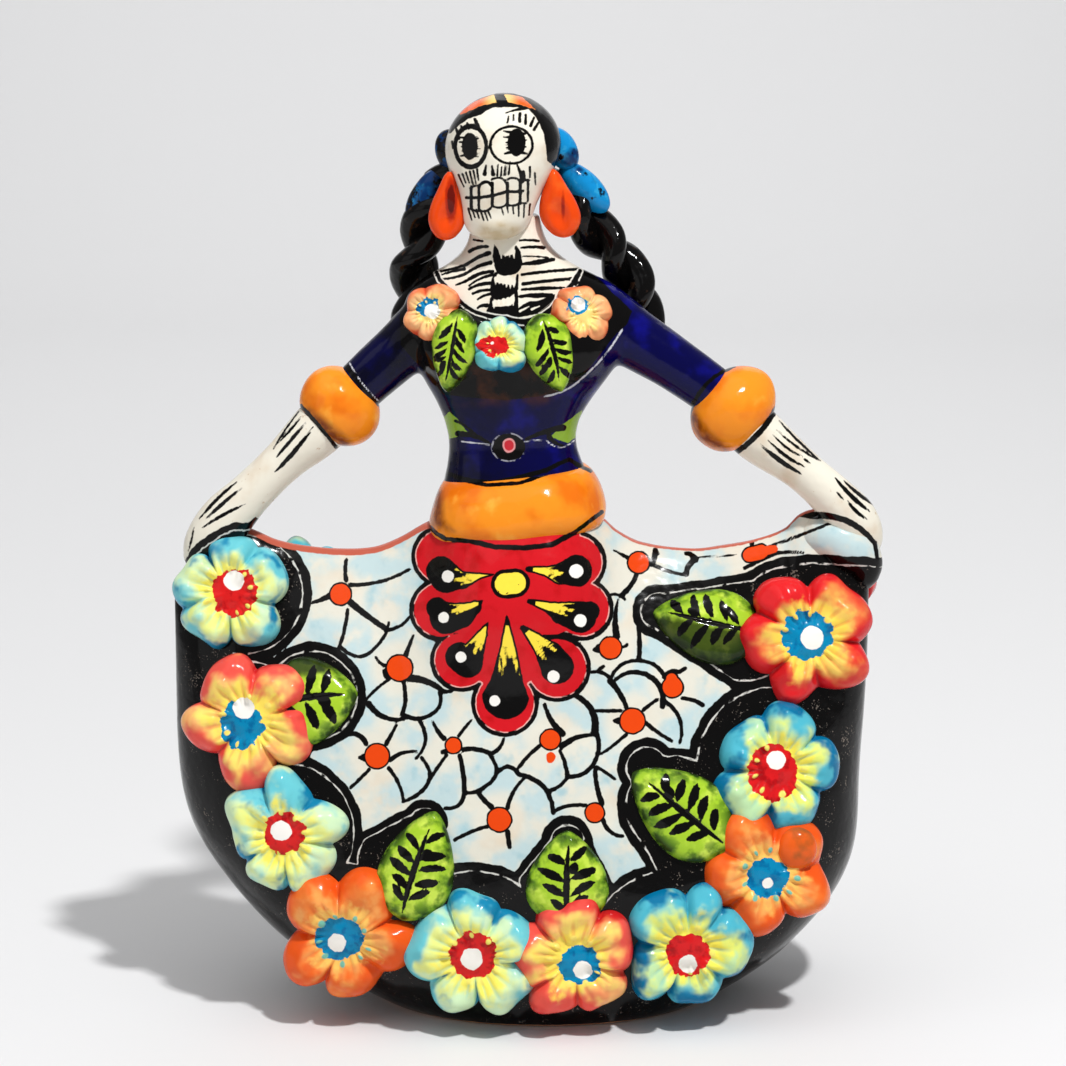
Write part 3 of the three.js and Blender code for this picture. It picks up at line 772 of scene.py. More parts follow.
# %% Brush marks on the skirt
# Each stroke: start right and up, end right and up, bow to its left, width at start and at end
PETAL_LINES = [
    (-61.5, -15.5, -61.4, -8.7, 0.3, 1.3, 0.9), (-60.2, -17.1, -40.6, -11.9, -1.5, 1.2, 0.8),
    (-66.4, -20.4, -72.7, -23, 0.2, 2, 0.7), (-60.2, -22.7, -48, -31.7, -0.3, 2.1, 1.5),
    (-61, -25.1, -64, -38.2, 0.5, 1, 1), (-63.2, -37.6, -51, -36.7, -3.5, 1.1, 0.9),
    (-51, -36.7, -47.4, -29.3, -0.7, 0.9, 0.7), (-48, -31.8, -40.4, -27.2, -1.2, 1.1, 0.7),
    (-42.1, -41.1, -39.4, -33.8, 0.1, 1.6, 0.7), (-51.7, -40.8, -48, -43.7, -0.7, 0.7, 1.1),
    (-48.7, -45.4, -47.4, -47.7, -0.4, 1.6, 1.6), (-47, -47.9, -55.5, -55.6, -0.5, 0.9, 0.7),
    (-42.7, -48.7, -43, -59.7, 0.9, 1.2, 1.3), (-40.5, -47.7, -29.4, -52.1, 1, 2.5, 1.3),
    (-29.4, -52.1, -25.7, -51.2, -0.5, 1.3, 0.7), (-30.6, -52.5, -34.3, -60.1, 1.8, 1.2, 1.1),
    (-34.3, -60.1, -42.7, -59.7, 1.2, 1.1, 1.3), (-54, -56.3, -42.4, -61.2, -2, 2, 1),
    (-48.3, -69.4, -44.9, -63.2, 0, 1.3, 0.7), (-47, -74.7, -38.3, -71.9, 1, 1.3, 0.8),
    (-47.5, -77.3, -42.5, -88.2, 0.9, 1.1, 0.8), (-53.9, -77.8, -60, -83.8, 0.1, 1, 0.9),
    (-54.8, -69.4, -61, -66.1, -1.4, 1.5, 1.6), (-54.9, -73.8, -57, -73.9, 0, 3, 1),
    (-37.2, -61.9, -38.5, -74.2, 2.5, 1.2, 0.8), (-36.8, -73.8, -38.2, -86.2, 3.6, 1, 1.2),
    (-38.2, -86.2, -42.7, -88.4, 0.2, 1.2, 0.8), (-29.3, -67.6, -33, -61.9, 0.4, 1.6, 0.7),
    (-24.5, -66.9, -20.2, -61.6, 0.2, 1, 0.8), (-23, -71.2, -13.8, -72.7, 0.8, 1.4, 1.3),
    (-28.6, -71.7, -29.8, -72.1, 0, 1.6, 1.3), (-28.4, -73, -34, -81.2, -0.1, 1, 1),
    (-24.1, -73.2, -22.6, -85.3, 0.4, 1.3, 1.5), (-14.5, -72.7, -15.9, -83.6, 3.2, 1, 1.2),
    (-15.9, -83.6, -22.6, -85.5, 0.6, 1.2, 0.9), (-22.6, -85.3, -28.9, -90.5, 2.1, 1.3, 1),
    (-13.8, -72.7, -9.6, -67.7, -0.8, 1.3, 0.8), (-13.6, -90.1, -18, -85.3, 0.3, 1.6, 1.3),
    (-8.4, -90.4, -3.3, -81.1, 0.8, 1.3, 0.8), (-8.4, -98.3, -7.7, -103.3, 0, 1.6, 1.3),
    (-15.1, -96.5, -25.8, -101, -0.4, 1, 1), (-12.1, -79.4, -4.6, -79.4, 2.6, 1, 1.4),
    (-4.6, -79.4, 6.7, -92, 3.3, 1.4, 1.3), (3.8, -56.5, 9.7, -66, -0.8, 1, 2.1),
    (9.5, -70.1, 20.2, -66.4, 1.1, 2, 0.8), (2.6, -69.7, -4.8, -77.3, -0.4, 1.1, 1),
    (8.9, -71.7, 11.4, -80.2, 0.4, 1, 1.4), (11.4, -80.2, 19.7, -76.3, -1.3, 1.2, 1.3),
    (19.7, -76.3, 21.2, -66.4, -1.1, 1.3, 1.3), (11.4, -80.2, 5.9, -84.6, 0.7, 1.1, 1.2),
    (13.1, -53, 20.4, -65.8, 2.8, 1.5, 2.3), (20.4, -77.7, 22.7, -89.1, -0.5, 1.2, 1.6),
    (17.4, -89.6, 6.7, -91.6, -0.9, 1, 1), (23, -94.1, 29.4, -99.8, -1.5, 1.4, 1),
    (21, -76.9, 26.9, -80.9, 0.1, 1, 0.8), (30.8, -57.6, 25.4, -48.7, -0.6, 1.3, 2),
    (36.2, -58.4, 40.9, -54.8, 0.2, 1.1, 0.9), (28.9, -58.5, 20.7, -58.5, 0, 1, 1),
    (28.3, -61.8, 26.8, -61.8, 0, 2.3, 1), (30.7, -66.3, 22.5, -72.6, 0.2, 1, 0.8),
    (36.8, -62.3, 45.7, -68.5, -0.2, 1.3, 1), (27, -48.4, 37.2, -46.5, 1.6, 1, 1.4),
    (37.2, -46.5, 42.6, -56.9, 2.2, 1.6, 1.8), (25.7, -47.7, 34.6, -42, 1.9, 1, 1),
    (34.6, -42, 43.2, -47, 1.5, 1, 1.2), (19.3, -45.7, 25.7, -48, 0.9, 0.9, 1.1),
    (43.2, -55.2, 48.3, -69.1, 2.7, 1.3, 0.9), (28, -21.8, 27.5, -33.9, -0.7, 0.5, 2.3),
    (29.1, -37.6, 31, -36.7, -0.2, 0.8, 1), (22, -38, 19.8, -38.4, 0.1, 3, 0.7),
    (21.7, -44.8, 23.2, -43.9, 0, 1, 1), (43.1, -47.4, 48, -45.7, 1, 1.3, 1.3),
    (47.4, -45.9, 50, -44.6, -0.1, 1, 1.3), (49, -54.3, 55.8, -56.6, 0.5, 1, 1.3),
    (34.5, -28.9, 34.9, -41, 0.3, 1.1, 1.5), (26.6, -5.7, 31.2, -8.2, 0.1, 0.4, 1.3),
    (39.1, -10.4, 40.2, -5.7, -0.3, 1.6, 1.6), (40.1, -5.8, 41.3, -6.9, 0, 1.6, 0.5),
    (40.2, -10.8, 50.4, -13.8, -0.5, 1.2, 0.7), (34.2, -13.1, 29.3, -20.3, 0.7, 1.3, 1.6),
    (25.1, -20.5, 30.2, -21.8, 0.9, 0.7, 0.8), (50.4, -6.7, 53.6, -8.6, 0.4, 1.3, 1.8),
    (53.4, -8.7, 50.4, -13.6, -0.8, 2, 1.6), (53.9, -8.2, 67, -7.4, 0.2, 0.5, 0.5),
    (69.7, -11.5, 79.6, -6.9, 0.1, 1.1, 1), (77.9, -6.9, 88.8, -6.5, 0.4, 1.1, 0.8),
    (77.3, -4.7, 98, 3.3, -0.1, 1, 0.7), (72, -3.9, 72, -3.1, 0, 1.3, 1.3),
]
WRIST_LINES = [
    (88.1, 6.9, 95.7, 5.8, -0.5, 3.1, 2), (95.7, 5.8, 112.3, -3.3, 2.1, 2, 1.6),
    (112.3, -3.3, 111.5, -19.4, 1.4, 1.5, 1),
]
BLOSSOM_DOTS = [
    (-63.3, -20.1, 3.6), (-43.9, -44.4, 4.3), (-51.3, -73.4, 4.1), (-26.2, -69.9, 2.7), (-11.1, -94.3, 4.0),
    (5.7, -67.9, 3.4), (20.3, -92, 3.2), (32.7, -61.8, 4.2), (25.5, -37.8, 3.7), (45.9, -50.7, 3.5),
    (34.7, -9.7, 3.6),
]
DOT_TRAILS = [[(71.3, -7.2, 2.5), (75, -6.2, 2.6)], [(45.9, -50.7, 3.3), (45.6, -47.9, 2)]]
DOT_DRIPS = [[(5.9, -73.6, 1.6), (5.7, -74.4, 1.3)], [(77, -5.6, 1.5), (79.4, -5.3, 1.3)]]
HEM_BLOTS = [
    [(-95.4, -20.1, 22.7)], [(-72.7, -53.6, 17.8)], [(-94.7, -62.8, 23.7)], [(-81.9, -98.7, 26)],
    [(-63.5, -133.2, 28)], [(-44.4, -108.2, 16.4), (-35.9, -95.4, 7.9), (-42.1, -114.1, 17.1)],
    [(-19.7, -138.8, 30.6)], [(11.2, -101.6, 8.6), (9.9, -114.8, 17.4)], [(15.5, -142.1, 24.7)],
    [(46.7, -140.4, 32.6)], [(77.3, -113.5, 28)],
    [(37.5, -77.3, 9.9), (46.7, -89.5, 19.1), (54.9, -97.7, 22.4)], [(79.6, -76.3, 28.6)],
    [(41.4, -25.7, 8.9), (69.7, -31.9, 19.7)],
    [(84.5, -28.6, 20.7), (91.8, -27.6, 20.7), (114.1, -28.6, 20.4)], [(-114, -12, 9), (-110, -42, 15)],
    [
        (-104, -60, 20), (-100, -90, 22), (-80, -125, 22), (-45, -150, 24), (0, -156, 24), (40, -156, 24),
        (76, -134, 24), (100, -100, 24), (106, -60, 22),
    ],
]
APRON = [
    [(-29.6, -7.6, 10.5)], [(-30.3, -25.3, 10.5)], [(-23.4, -41.8, 10.5)], [(-9.2, -55.9, 11.2)],
    [(7.9, -44.4, 11.2)], [(16.1, -25, 10.5)], [(14.1, -9.5, 10.2)], [(-17.4, -8.9, 9.9), (3.9, -8.9, 9.9)],
    [(-20.7, -22, 13.2), (5.6, -22, 13.2)], [(-9.2, -38.5, 14.8)], [(-22, 0, 9), (8, 0, 9)],
]
DROPS = [
    [(-30.3, -12.5, 4.9), (-28.6, -14.5, 5.3), (-23.4, -15.5, 3.1), (-17.4, -14.1, 1.2), (-12.8, -13.6, 0.3)],
    [(-31.6, -24.7, 3.6), (-28.6, -28, 5.3), (-23.4, -27, 4.3), (-19.1, -24.3, 2.3), (-16.6, -22.2, 0.3)],
    [(-24, -40.8, 4.9), (-21.4, -42.8, 4.9), (-19.4, -38.5, 3.6), (-16.8, -33.5, 2), (-14.8, -29.3, 0.3)],
    [(-8.6, -27.3, 0.5), (-8.2, -38.5, 3), (-8.6, -48.3, 5.3), (-9, -53.6, 7.7)],
    [(-3.3, -31.2, 1), (1, -35.2, 2.6), (5.6, -40.1, 4.6), (7.9, -44.1, 5.6)],
    [(-1.3, -22.4, 0.8), (4.9, -24.3, 2), (9.5, -26.3, 3.9), (15.5, -27.6, 5.3), (18.7, -25.7, 3.3)],
    [(-1.6, -11.8, 1), (3.9, -12.5, 1.8), (8.9, -13.5, 3.6), (14.1, -12.5, 5.4)],
]
DROP_WHITES = [
    [(-28, -14.3, 2)], [(-29.4, -27.8, 1.8)], [(-23.7, -40.8, 1.8)], [(-12.6, -55.2, 1.8)], [(6.7, -47.2, 2)],
    [(15.6, -28.8, 2.1)], [(14.2, -12.6, 2.3)],
]
BADGE = [(-9.1, -16.8, 3.5), (-5.8, -16.4, 3.5)]
SASH_SHADOW = [
    (-33.9, 2), (-31.6, -0.3), (-28.6, -2), (-20.7, -2.6), (-12.5, -4.6), (-2.6, -4.9), (6.2, -3.9),
    (13.8, 0.3), (22.7, 6.9),
]
print(len(PETAL_LINES), "petal lines", len(HEM_BLOTS), "hem blots")

# %% [markdown]
# The back can't be seen in the photograph, so it is kept plainer and in the same hand: blossoms
# set out by a rule, each an orange dot with five looped petals, over the same black hem.

# %% Fields on the skirt
SIDE_BLACK = 8.0
BACK_BLOSSOMS = [(-58, 112), (-26, 128), (8, 120), (42, 124), (-40, 88), (-6, 86), (28, 90), (62, 100)]
BACK_PETAL = 14.0
BACK_HEM = 58.0

def loop_petals(x, z, size, turn):
    """Strokes of one looped blossom round a dot."""
    strokes = []
    for petal in range(5):
        left, right = (turn + (petal + part) * 2 * math.pi / 5 for part in (0, 1))
        at = lambda angle, reach: (x + reach * size * math.cos(angle), z + reach * size * math.sin(angle))
        strokes.append((*at(left, 0.3), *at(left, 0.92), 0.4, 1.9, 1.4))
        strokes.append((*at(left, 0.92), *at(right, 0.92), -0.26 * size, 1.6, 1.8))
    return strokes

def back_fields(x, z):
    """Hem, petal lines and dots for the plain back, on its own x and z."""
    flowers = [[(fx, fz, radius + 5.5)] for fx, fz, radius, _ in BACK_FLOWERS]
    edge = z - BACK_HEM - 7 * np.abs(np.sin(x / 13.0))
    hem = np.minimum(edge, blots_distance(x, z, flowers, 30))
    lines = []
    for number, middle in enumerate(BACK_BLOSSOMS):
        lines += loop_petals(*middle, BACK_PETAL, 0.7 * number)
    dots = [[(*middle, 3.6)] for middle in BACK_BLOSSOMS]
    return hem, strokes_distance(x, z, lines), blots_distance(x, z, dots, 12)

def drop_hairs(drop):
    """Hairs of a yellow brush dragged from the point of a drop towards its round end."""
    point, end = np.array([drop[0], drop[-1]] if drop[0][2] < drop[-1][2] else [drop[-1], drop[0]])
    run = (end - point)[:2]
    beside = np.array([-run[1], run[0]]) / np.hypot(*run)
    hairs = []
    for number, lean in enumerate(np.linspace(-0.8, 0.8, 11)):
        start = point[:2] + 0.14 * run + beside * lean * 0.3 * end[2]
        tip = point[:2] + (0.64 + 0.12 * math.sin(5 * number)) * run + beside * lean * end[2]
        hairs.append((*start, *tip, 0, 1.2, 0.45))
    return hairs

def paint_skirt(skirt):
    """Stores the fields of the skirt's paint on the skirt, or on a roll of its cloth."""
    places = places_of(skirt)
    x, y, z = places.T
    u, v = drawing(places)
    front = y <= 0.01
    share = z / rim_height(x)
    side = skirt_half_width(share) - np.abs(x - skirt_centre(share)) - SIDE_BLACK
    side_black = side + 20 * ease(v, -20, -8) * (u > 0)
    back_hem, back_lines, back_dots = back_fields(x, z)
    dots = [[dot] for dot in BLOSSOM_DOTS] + DOT_TRAILS
    wrist = strokes_distance(u, v, WRIST_LINES)
    fields = {
        "hem": (np.minimum(blots_distance(u, v, HEM_BLOTS, 40), side_black), np.minimum(back_hem, side)),
        "ink": (strokes_distance(u, v, PETAL_LINES), back_lines),
        "dots": (blots_distance(u, v, dots, 16), back_dots),
        "drips": (blots_distance(u, v, DOT_DRIPS), FAR),
        "apron": (blots_distance(u, v, APRON, 12), FAR),
        "drops": (blots_distance(u, v, DROPS), FAR),
        "drop_white": (blots_distance(u, v, DROP_WHITES), FAR),
        "drop_yellow": (strokes_distance(u, v, [hair for drop in DROPS for hair in drop_hairs(drop)]), FAR),
        "badge": (chain_distance(u, v, BADGE), FAR),
        "over_ink": (np.minimum(wrist, line_distance(u, v, SASH_SHADOW, 1.8)), FAR),
    }
    for name, (in_front, behind) in fields.items():
        paint(skirt, name, np.where(front, in_front, behind))
    band = np.where(x < 0, 1.5, 0.5)
    paint(skirt, "crest", (1 - share) * rim_height(x) - band)
    paint(skirt, "foot", z - 1.1)

paint_skirt(skirt)
print("skirt fields", [layer.name for layer in skirt.data.attributes if layer.data_type == "FLOAT"])

# %% [markdown]
# The order of the layers is the painter's: warm slip, blue washes away from the blossom middles,
# petal lines, dots, then the heavy black of the hem with its scratched white line, the apron over
# that, and last the bare lip and foot. The black is thin in places, so pale flecks show in it.

# %% The skirt's paint
CLOTH = (222, 219, 205)
WASH_BLUE = (190, 211, 213)
DOT_ORANGE = (228, 70, 14)
APRON_RED = (206, 24, 34)
APRON_SHADE = (186, 14, 20)
DROP_YELLOW = (250, 222, 70)

def skirt_paint():
    coat = Finish("skirt_paint", CLOTH)
    coat.wash(BONE_SHADE, 16, 0.5, 0.78)
    away = coat.read("dots").eased(2.5, 8)
    coat.lay(WASH_BLUE, coat.mottle(9, 0.34, 0.6) * away)
    coat.lay((156, 194, 203), coat.mottle(7, 0.56, 0.8) * away * 0.8)
    coat.brush(BLACK, "ink", 0.14, 0.34, 1.6)
    coat.brush(BLACK, "dots", 0.35, 0.35)
    coat.brush(DOT_ORANGE, "dots", -0.25, 0.2)
    coat.brush(DOT_ORANGE, "drips", 0, 0.3)
    coat.brush(BLACK, "hem", 0, 0.9, 5.0)
    scratch = coat.mark("hem", -3.25, Wobble=0.9, Wave=4.0) * -1 + 1
    scratch = coat.mark("hem", -2.8, Wobble=0.8, Wave=5.0) * scratch
    coat.lay((214, 212, 205), scratch * coat.mottle(5, 0.38, 0.46))
    coat.lay((104, 96, 88), coat.mark("hem", -3.9, Wobble=0.8) * coat.use(FLECKS, Size=0.7, Amount=0.3))
    coat.brush(BLACK, "apron", 0, 0.3)
    coat.lay((236, 176, 168), coat.mark("apron", -1.4, Wobble=0.25) * coat.mottle(6, 0.44, 0.52))
    red = coat.mark("apron", -1.75, Wobble=0.3)
    coat.lay(APRON_RED, red)
    coat.lay(APRON_SHADE, red * coat.mottle(7, 0.5, 0.72))
    coat.brush(BLACK, "drops", 0, 0.35)
    coat.brush(BLACK, "badge", 1.3, 0.4)
    streaks = coat.use(FLECKS, Size=1.3, Amount=0.3) * -1 + 1
    coat.lay(DROP_YELLOW, coat.mark("drop_yellow", 0, Wobble=0.3, Wave=1.2) * coat.mark("drops", -0.7))
    coat.lay(DROP_YELLOW, coat.mark("badge", 0, Wobble=0.3) * streaks)
    coat.brush(WHITE, "drop_white", 0, 0.25)
    coat.brush(BLACK, "over_ink", 0, 0.3)
    coat.brush((192, 96, 76), "crest", 0, 0.25)
    coat.brush((186, 136, 100), "foot", 0, 0.4, 6.0)
    return coat.coat()

dress(skirt, skirt_paint())
print("skirt painted")

# %% [markdown]
# The bodice is modelled over the waist in one go with the shoulders and upper arms. Smooth rows
# give the waist, bust and neck, two tapering rolls give the arms, and two soft domes the bust.
# A voxel remesh melts these rolls into one skin, as a potter's thumb does, and a few rounds of
# relaxing soften the joins at the shoulders, armpits and neck.

# %% The body
BODY_ROWS = [
    (150, -4, 27, 19, 17), (158, -4, 26, 18, 16), (174, -3.8, 24, 17, 15.5), (180, -4.6, 22, 15.5, 14),
    (187, -5.4, 20.8, 14.5, 13), (194, -5.6, 22, 15.2, 13), (201, -5.1, 25.4, 16.6, 13),
    (208, -4.5, 29.8, 18.6, 13.2), (216, -3.7, 34.4, 19, 13.5), (224, -3.3, 36.8, 17.5, 13.5),
    (231, -3.5, 37, 15.4, 13), (236.5, -4.4, 34.4, 13.2, 12.2), (240.5, -5.4, 28.8, 12, 11.6),
    (244, -6, 22, 11.2, 11.2), (248, -6.4, 16.2, 10.7, 10.9), (253, -7, 12.6, 10.4, 10.8),
    (261, -7.8, 11, 9, 11),
]
UPPER_ARMS = {
    "left": [
        (-24, 0, 229, 11), (-33, 0, 224, 10.6), (-41.3, 0, 217.2, 9.4), (-54, -2, 206, 8.5),
        (-61.5, -3, 198.6, 8),
    ],
    "right": [
        (18, 0, 231, 11), (25.5, 0, 226.5, 10.8), (33.5, 0, 221, 10), (46.4, -2, 213, 8.8),
        (58.9, -2.5, 204.3, 8.2), (66.4, -3, 197.9, 8),
    ],
}
BUST_DOMES = [((-20.5, -9.5, 219), (15, 11.5, 12.5)), ((11, -9.5, 219), (15, 11.5, 12.5))]
CLAY_VOXEL = 0.66

def stack_rings(rows, levels, columns, squareness, tilt=0):
    """Rings of an upright part through rows of height, centre x, half-width, front and back."""
    centre, half, front, back = (
        through([(row[0], row[k]) for row in rows])(levels)[:, None] for k in range(1, 5)
    )
    across, inward = rounded(turns(columns), squareness)
    y = (back - front) / 2 + (front + back) / 2 * inward
    z = levels[:, None] + tilt * half * across
    return np.stack([centre + half * across, y, z], -1)

def limb_rings(rows, steps, columns):
    """Rings round a limb through rows of x, y, z and radius."""
    path = np.array([row[:3] for row in rows], float)
    travel = np.concatenate([[0], np.cumsum(np.linalg.norm(np.diff(path, axis=0), axis=1))])
    places = np.linspace(0, travel[-1], steps)
    x, y, z, radius = (through([(t, row[k]) for t, row in zip(travel, rows)])(places) for k in range(4))
    middle = np.stack([x, y, z], -1)
    ahead = np.gradient(middle, axis=0)
    ahead /= np.linalg.norm(ahead, axis=1)[:, None]
    side = np.cross([0, 1, 0], ahead)
    side /= np.linalg.norm(side, axis=1)[:, None]
    depth = np.cross(ahead, side)
    angle = turns(columns)[..., None]
    reach = side[:, None] * np.cos(angle) + depth[:, None] * np.sin(angle)
    return middle[:, None] + reach * radius[:, None, None]

def egg_rings(middle, radii, rows=32, columns=48):
    turn = np.linspace(0.03, math.pi - 0.03, rows)[:, None]
    angle = turns(columns)
    wide, high = np.sin(turn), np.cos(turn)
    ball = np.stack([wide * np.cos(angle), wide * np.sin(angle), high + 0 * angle], -1)
    return np.array(middle) + ball * np.array(radii)

def melt(name, parts, voxel):
    """One skin over several overlapping closed parts, which are used up."""
    bpy.ops.object.select_all(action="DESELECT")
    for part in parts:
        part.select_set(True)
    bpy.context.view_layer.objects.active = parts[0]
    bpy.ops.object.join()
    joined = bpy.context.view_layer.objects.active
    remesh = joined.modifiers.new("melt", "REMESH")
    remesh.mode = "VOXEL"
    remesh.voxel_size = voxel * MM
    remesh.use_smooth_shade = True
    return freeze(joined, name)

def freeze(source, name):
    """A plain mesh piece from an object whose modifiers are then gone."""
    graph = bpy.context.evaluated_depsgraph_get()
    mesh = bpy.data.meshes.new_from_object(source.evaluated_get(graph))
    bpy.data.objects.remove(source)
    mesh.name = name
    return new_object(name, mesh)

def relax(piece, weights, rounds):
    """Moves each point towards the mean of its neighbours, by its own weight."""
    places = places_of(piece)
    edges = np.empty(2 * len(piece.data.edges), np.int32)
    piece.data.edges.foreach_get("vertices", edges)
    first, second = edges.reshape(-1, 2).T
    count = np.bincount(np.concatenate([first, second]), minlength=len(places))[:, None]
    for _ in range(rounds):
        total = np.stack([
            sum(np.bincount(at, places[by, k], len(places)) for at, by in ((first, second), (second, first)))
            for k in range(3)
        ], -1)
        places += weights[:, None] * (total / count - places)
    move_to(piece, places)

def move_to(piece, places):
    piece.data.vertices.foreach_set("co", (places * MM).astype(np.float32).ravel())
    piece.data.update()

def make_body():
    parts = [rings_to_solid("waist", stack_rings(BODY_ROWS, np.linspace(150, 261, 150), 160, 2.2))]
    for side, rows in UPPER_ARMS.items():
        parts.append(rings_to_solid(side, limb_rings(rows, 60, 64)))
    for middle, radii in BUST_DOMES:
        parts.append(rings_to_solid("bust", egg_rings(middle, radii)))
    body = melt("bodice", parts, CLAY_VOXEL)
    x, _, z = places_of(body).T
    shoulders = ease(np.abs(x + 3), 16, 26) * (1 - ease(np.abs(x + 3), 44, 52)) * ease(z, 190, 200)
    relax(body, 0.12 + 0.5 * shoulders, 26)
    return body

body = make_body()
print("bodice", len(body.data.polygons), "faces")

# %% [markdown]
# The bodice is deep cobalt where the sun reaches it and almost black on the shaded side and in the
# yoke. Bare bone shows above the neckline, with ribs brushed as tapering lines and the spine as
# three black blocks with white nicks. The clay is made finer there first, because a rib is a line
# only half a millimetre wide.

# %% Brush marks on the chest and waist
BARE_CHEST = [
    (-35.5, 89.1), (-32, 84.9), (-28.5, 81.6), (-26.3, 78.9), (-24.1, 75.4), (-20.9, 72.9), (-16.5, 71.3),
    (-11, 70.7), (-5.6, 69.9), (-2.3, 70.2), (1.5, 72.1), (5.3, 75.1), (6.9, 76.7), (13, 82.2), (16.2, 86.3),
    (19.4, 91.4), (8.9, 120), (-27.3, 120),
]
NECK_LINE = [
    (-31.7, 85.7, -30.7, 83.2, 0, 1.4, 1.3), (-30.7, 83.2, -25.3, 77.8, 0, 1.3, 1.2),
    (-25.3, 77.8, -18.9, 72.7, -0.5, 1.2, 1.3), (-18.9, 72.7, -8.9, 70.6, -0.4, 1.3, 1.6),
    (-8.9, 70.6, 0.4, 70.2, -0.9, 1.8, 1.9), (0.4, 70.2, 8.2, 76.8, -1, 2.2, 1.3),
    (8.2, 76.8, 13.5, 82.5, 0, 1.2, 1.6), (13.5, 82.5, 15.5, 86.2, 0, 2, 1.4),
]
YOKE = [
    (-43.7, 93.1), (-30.6, 93.1), (16.1, 89.1), (32.6, 73), (30.9, 68.5), (27.2, 65.3), (21.7, 58.2),
    (16.2, 51.1), (8.6, 46.2), (3.2, 45.1), (-7.6, 43.7), (-19.7, 44.4), (-30.6, 45.7), (-34.5, 51.6),
    (-43.7, 61.8),
]
YOKE_LINE = [(29.3, 66.9, 16.8, 51.5, 0.9, 0.6, 0.6), (16.8, 51.5, 3.6, 44.9, 1.3, 0.6, 0.6)]
RIBS = [
    (-16.6, 96, -19.6, 96.5, 0, 0.5, 0.4), (-15, 94.2, -20.9, 92.6, -0.5, 0.8, 0.9),
    (-14.4, 92.1, -21.8, 88.4, -0.3, 1.2, 0.8), (-21.8, 88.4, -31.7, 85.9, 0.3, 0.8, 0.5),
    (-13.9, 88.9, -19.6, 86.8, -0.3, 1.1, 0.8), (-19.6, 86.8, -30, 83.5, 0.8, 0.8, 0.5),
    (-22.5, 86.8, -30, 85, -0.2, 0.9, 0.4), (-13.2, 86, -19.6, 84.3, -0.4, 0.9, 1),
    (-19.6, 84.3, -25.3, 81.6, 0.2, 1, 0.4), (-13.2, 85, -21, 81.4, -0.5, 0.8, 0.4),
    (-14.3, 82.1, -21, 80.2, -0.5, 1.1, 0.6), (-14.3, 79.9, -19.8, 78.7, -0.4, 0.9, 0.6),
    (-14.1, 78.6, -18.2, 76.8, -0.3, 0.8, 0.4), (-15.2, 74.8, -18.2, 73.9, -0.5, 1.2, 0.4),
    (-4.3, 96.2, 1.8, 96, 0.2, 0.5, 0.7), (-3.9, 93.8, 3.6, 93.8, 0.3, 0.5, 0.9),
    (-3.2, 91, 5, 90.5, 0.2, 0.3, 0.4), (-3.6, 88.4, 1.8, 89.1, 0, 0.7, 1.5), (1.8, 89.1, 6.8, 90, 0, 1.7, 1),
    (-3.6, 85, 15, 86.8, 0.2, 0.8, 0.7), (-3.2, 81.9, 13.2, 83.6, 0.2, 0.9, 0.8),
    (-3.6, 80.1, 3.9, 80.5, 0, 0.6, 1.1), (3.9, 80.5, 10.3, 80.6, 0, 1.1, 0.5),
    (-4.3, 77.8, 1.8, 78.1, 0.2, 0.7, 1.5), (1.8, 78.1, 6.1, 78.3, 0, 1.5, 0.9),
    (-12.3, 85.3, -13.2, 82.8, 0, 0.9, 0.9), (-5.1, 84.9, -5.4, 80.3, 0, 0.5, 0.9),
    (-13.5, 77.2, -14.7, 73, 0.3, 0.9, 1.1), (-5.5, 79.1, -5.5, 73, 0, 0.9, 1.3),
]
SPINE = [
    [
        (-12.7, 94.8), (-11.6, 93.2), (-11.1, 91.6), (-8.9, 91), (-6.8, 91.4), (-6.1, 92.1), (-5.9, 94.3),
        (-5.4, 94.4), (-4.3, 92.5), (-3.6, 89.3), (-4.1, 87.1), (-5.7, 85.3), (-9.3, 84.6), (-11.8, 85.5),
        (-12.6, 87.8), (-13.1, 91),
    ],
    [
        (-13.4, 83.6), (-14.1, 79.6), (-13.6, 77.3), (-11.1, 76.6), (-8.2, 77.3), (-5.9, 79.1), (-5.4, 81.4),
        (-8.9, 81.6), (-12.5, 82.5),
    ],
    [
        (-13.2, 74.3), (-14.6, 72.9), (-13.6, 71.4), (-8.9, 70.9), (-5, 71.1), (-5, 73.9), (-6.4, 75.5),
        (-7.5, 74.6), (-10.7, 74.3),
    ],
    [
        (-4.8, 73.9), (-1.8, 75.9), (1.8, 76.3), (7.1, 78.4), (6.8, 75.4), (1.8, 72.3), (-5.4, 70.9),
        (-5.7, 72.5),
    ],
]
SPINE_NICKS = combed([
    ((-10.6, 92.6), (-6.4, 92.8), (-10.4, 90), (-6.2, 90.3), 4, 1.1, 0.2),
    ((-12.2, 83.7), (-6.2, 82.9), (-12.3, 81.5), (-6.3, 80.3), 6, 1.1, 0.2),
    ((-12.8, 75.9), (-6.6, 77.3), (-12.8, 73.7), (-6.5, 75), 5, 1.1, 0.2),
]) + [
    (-4.3, 73, -1.3, 74.5, 0, 0.7, 0.2), (-0.4, 73.6, 2.1, 74.6, 0, 0.6, 0.2),
    (-4.3, 75.4, -1.8, 76.2, 0, 0.4, 0.4),
]
BELT_BLOB = (-8.0, 28.2, 5.3, 4.4)
BELT_RED = (-7.9, 28.8, 1.9, 2.1)
BELT_LINES = [
    (-23.5, 30.1, -14.3, 29, 0, 0.5, 0.5), (-2.8, 30.1, 4.3, 30.4, 0.2, 0.5, 0.5),
    (4.3, 30.4, 13.5, 30.4, -2.2, 0.5, 0.5),
]
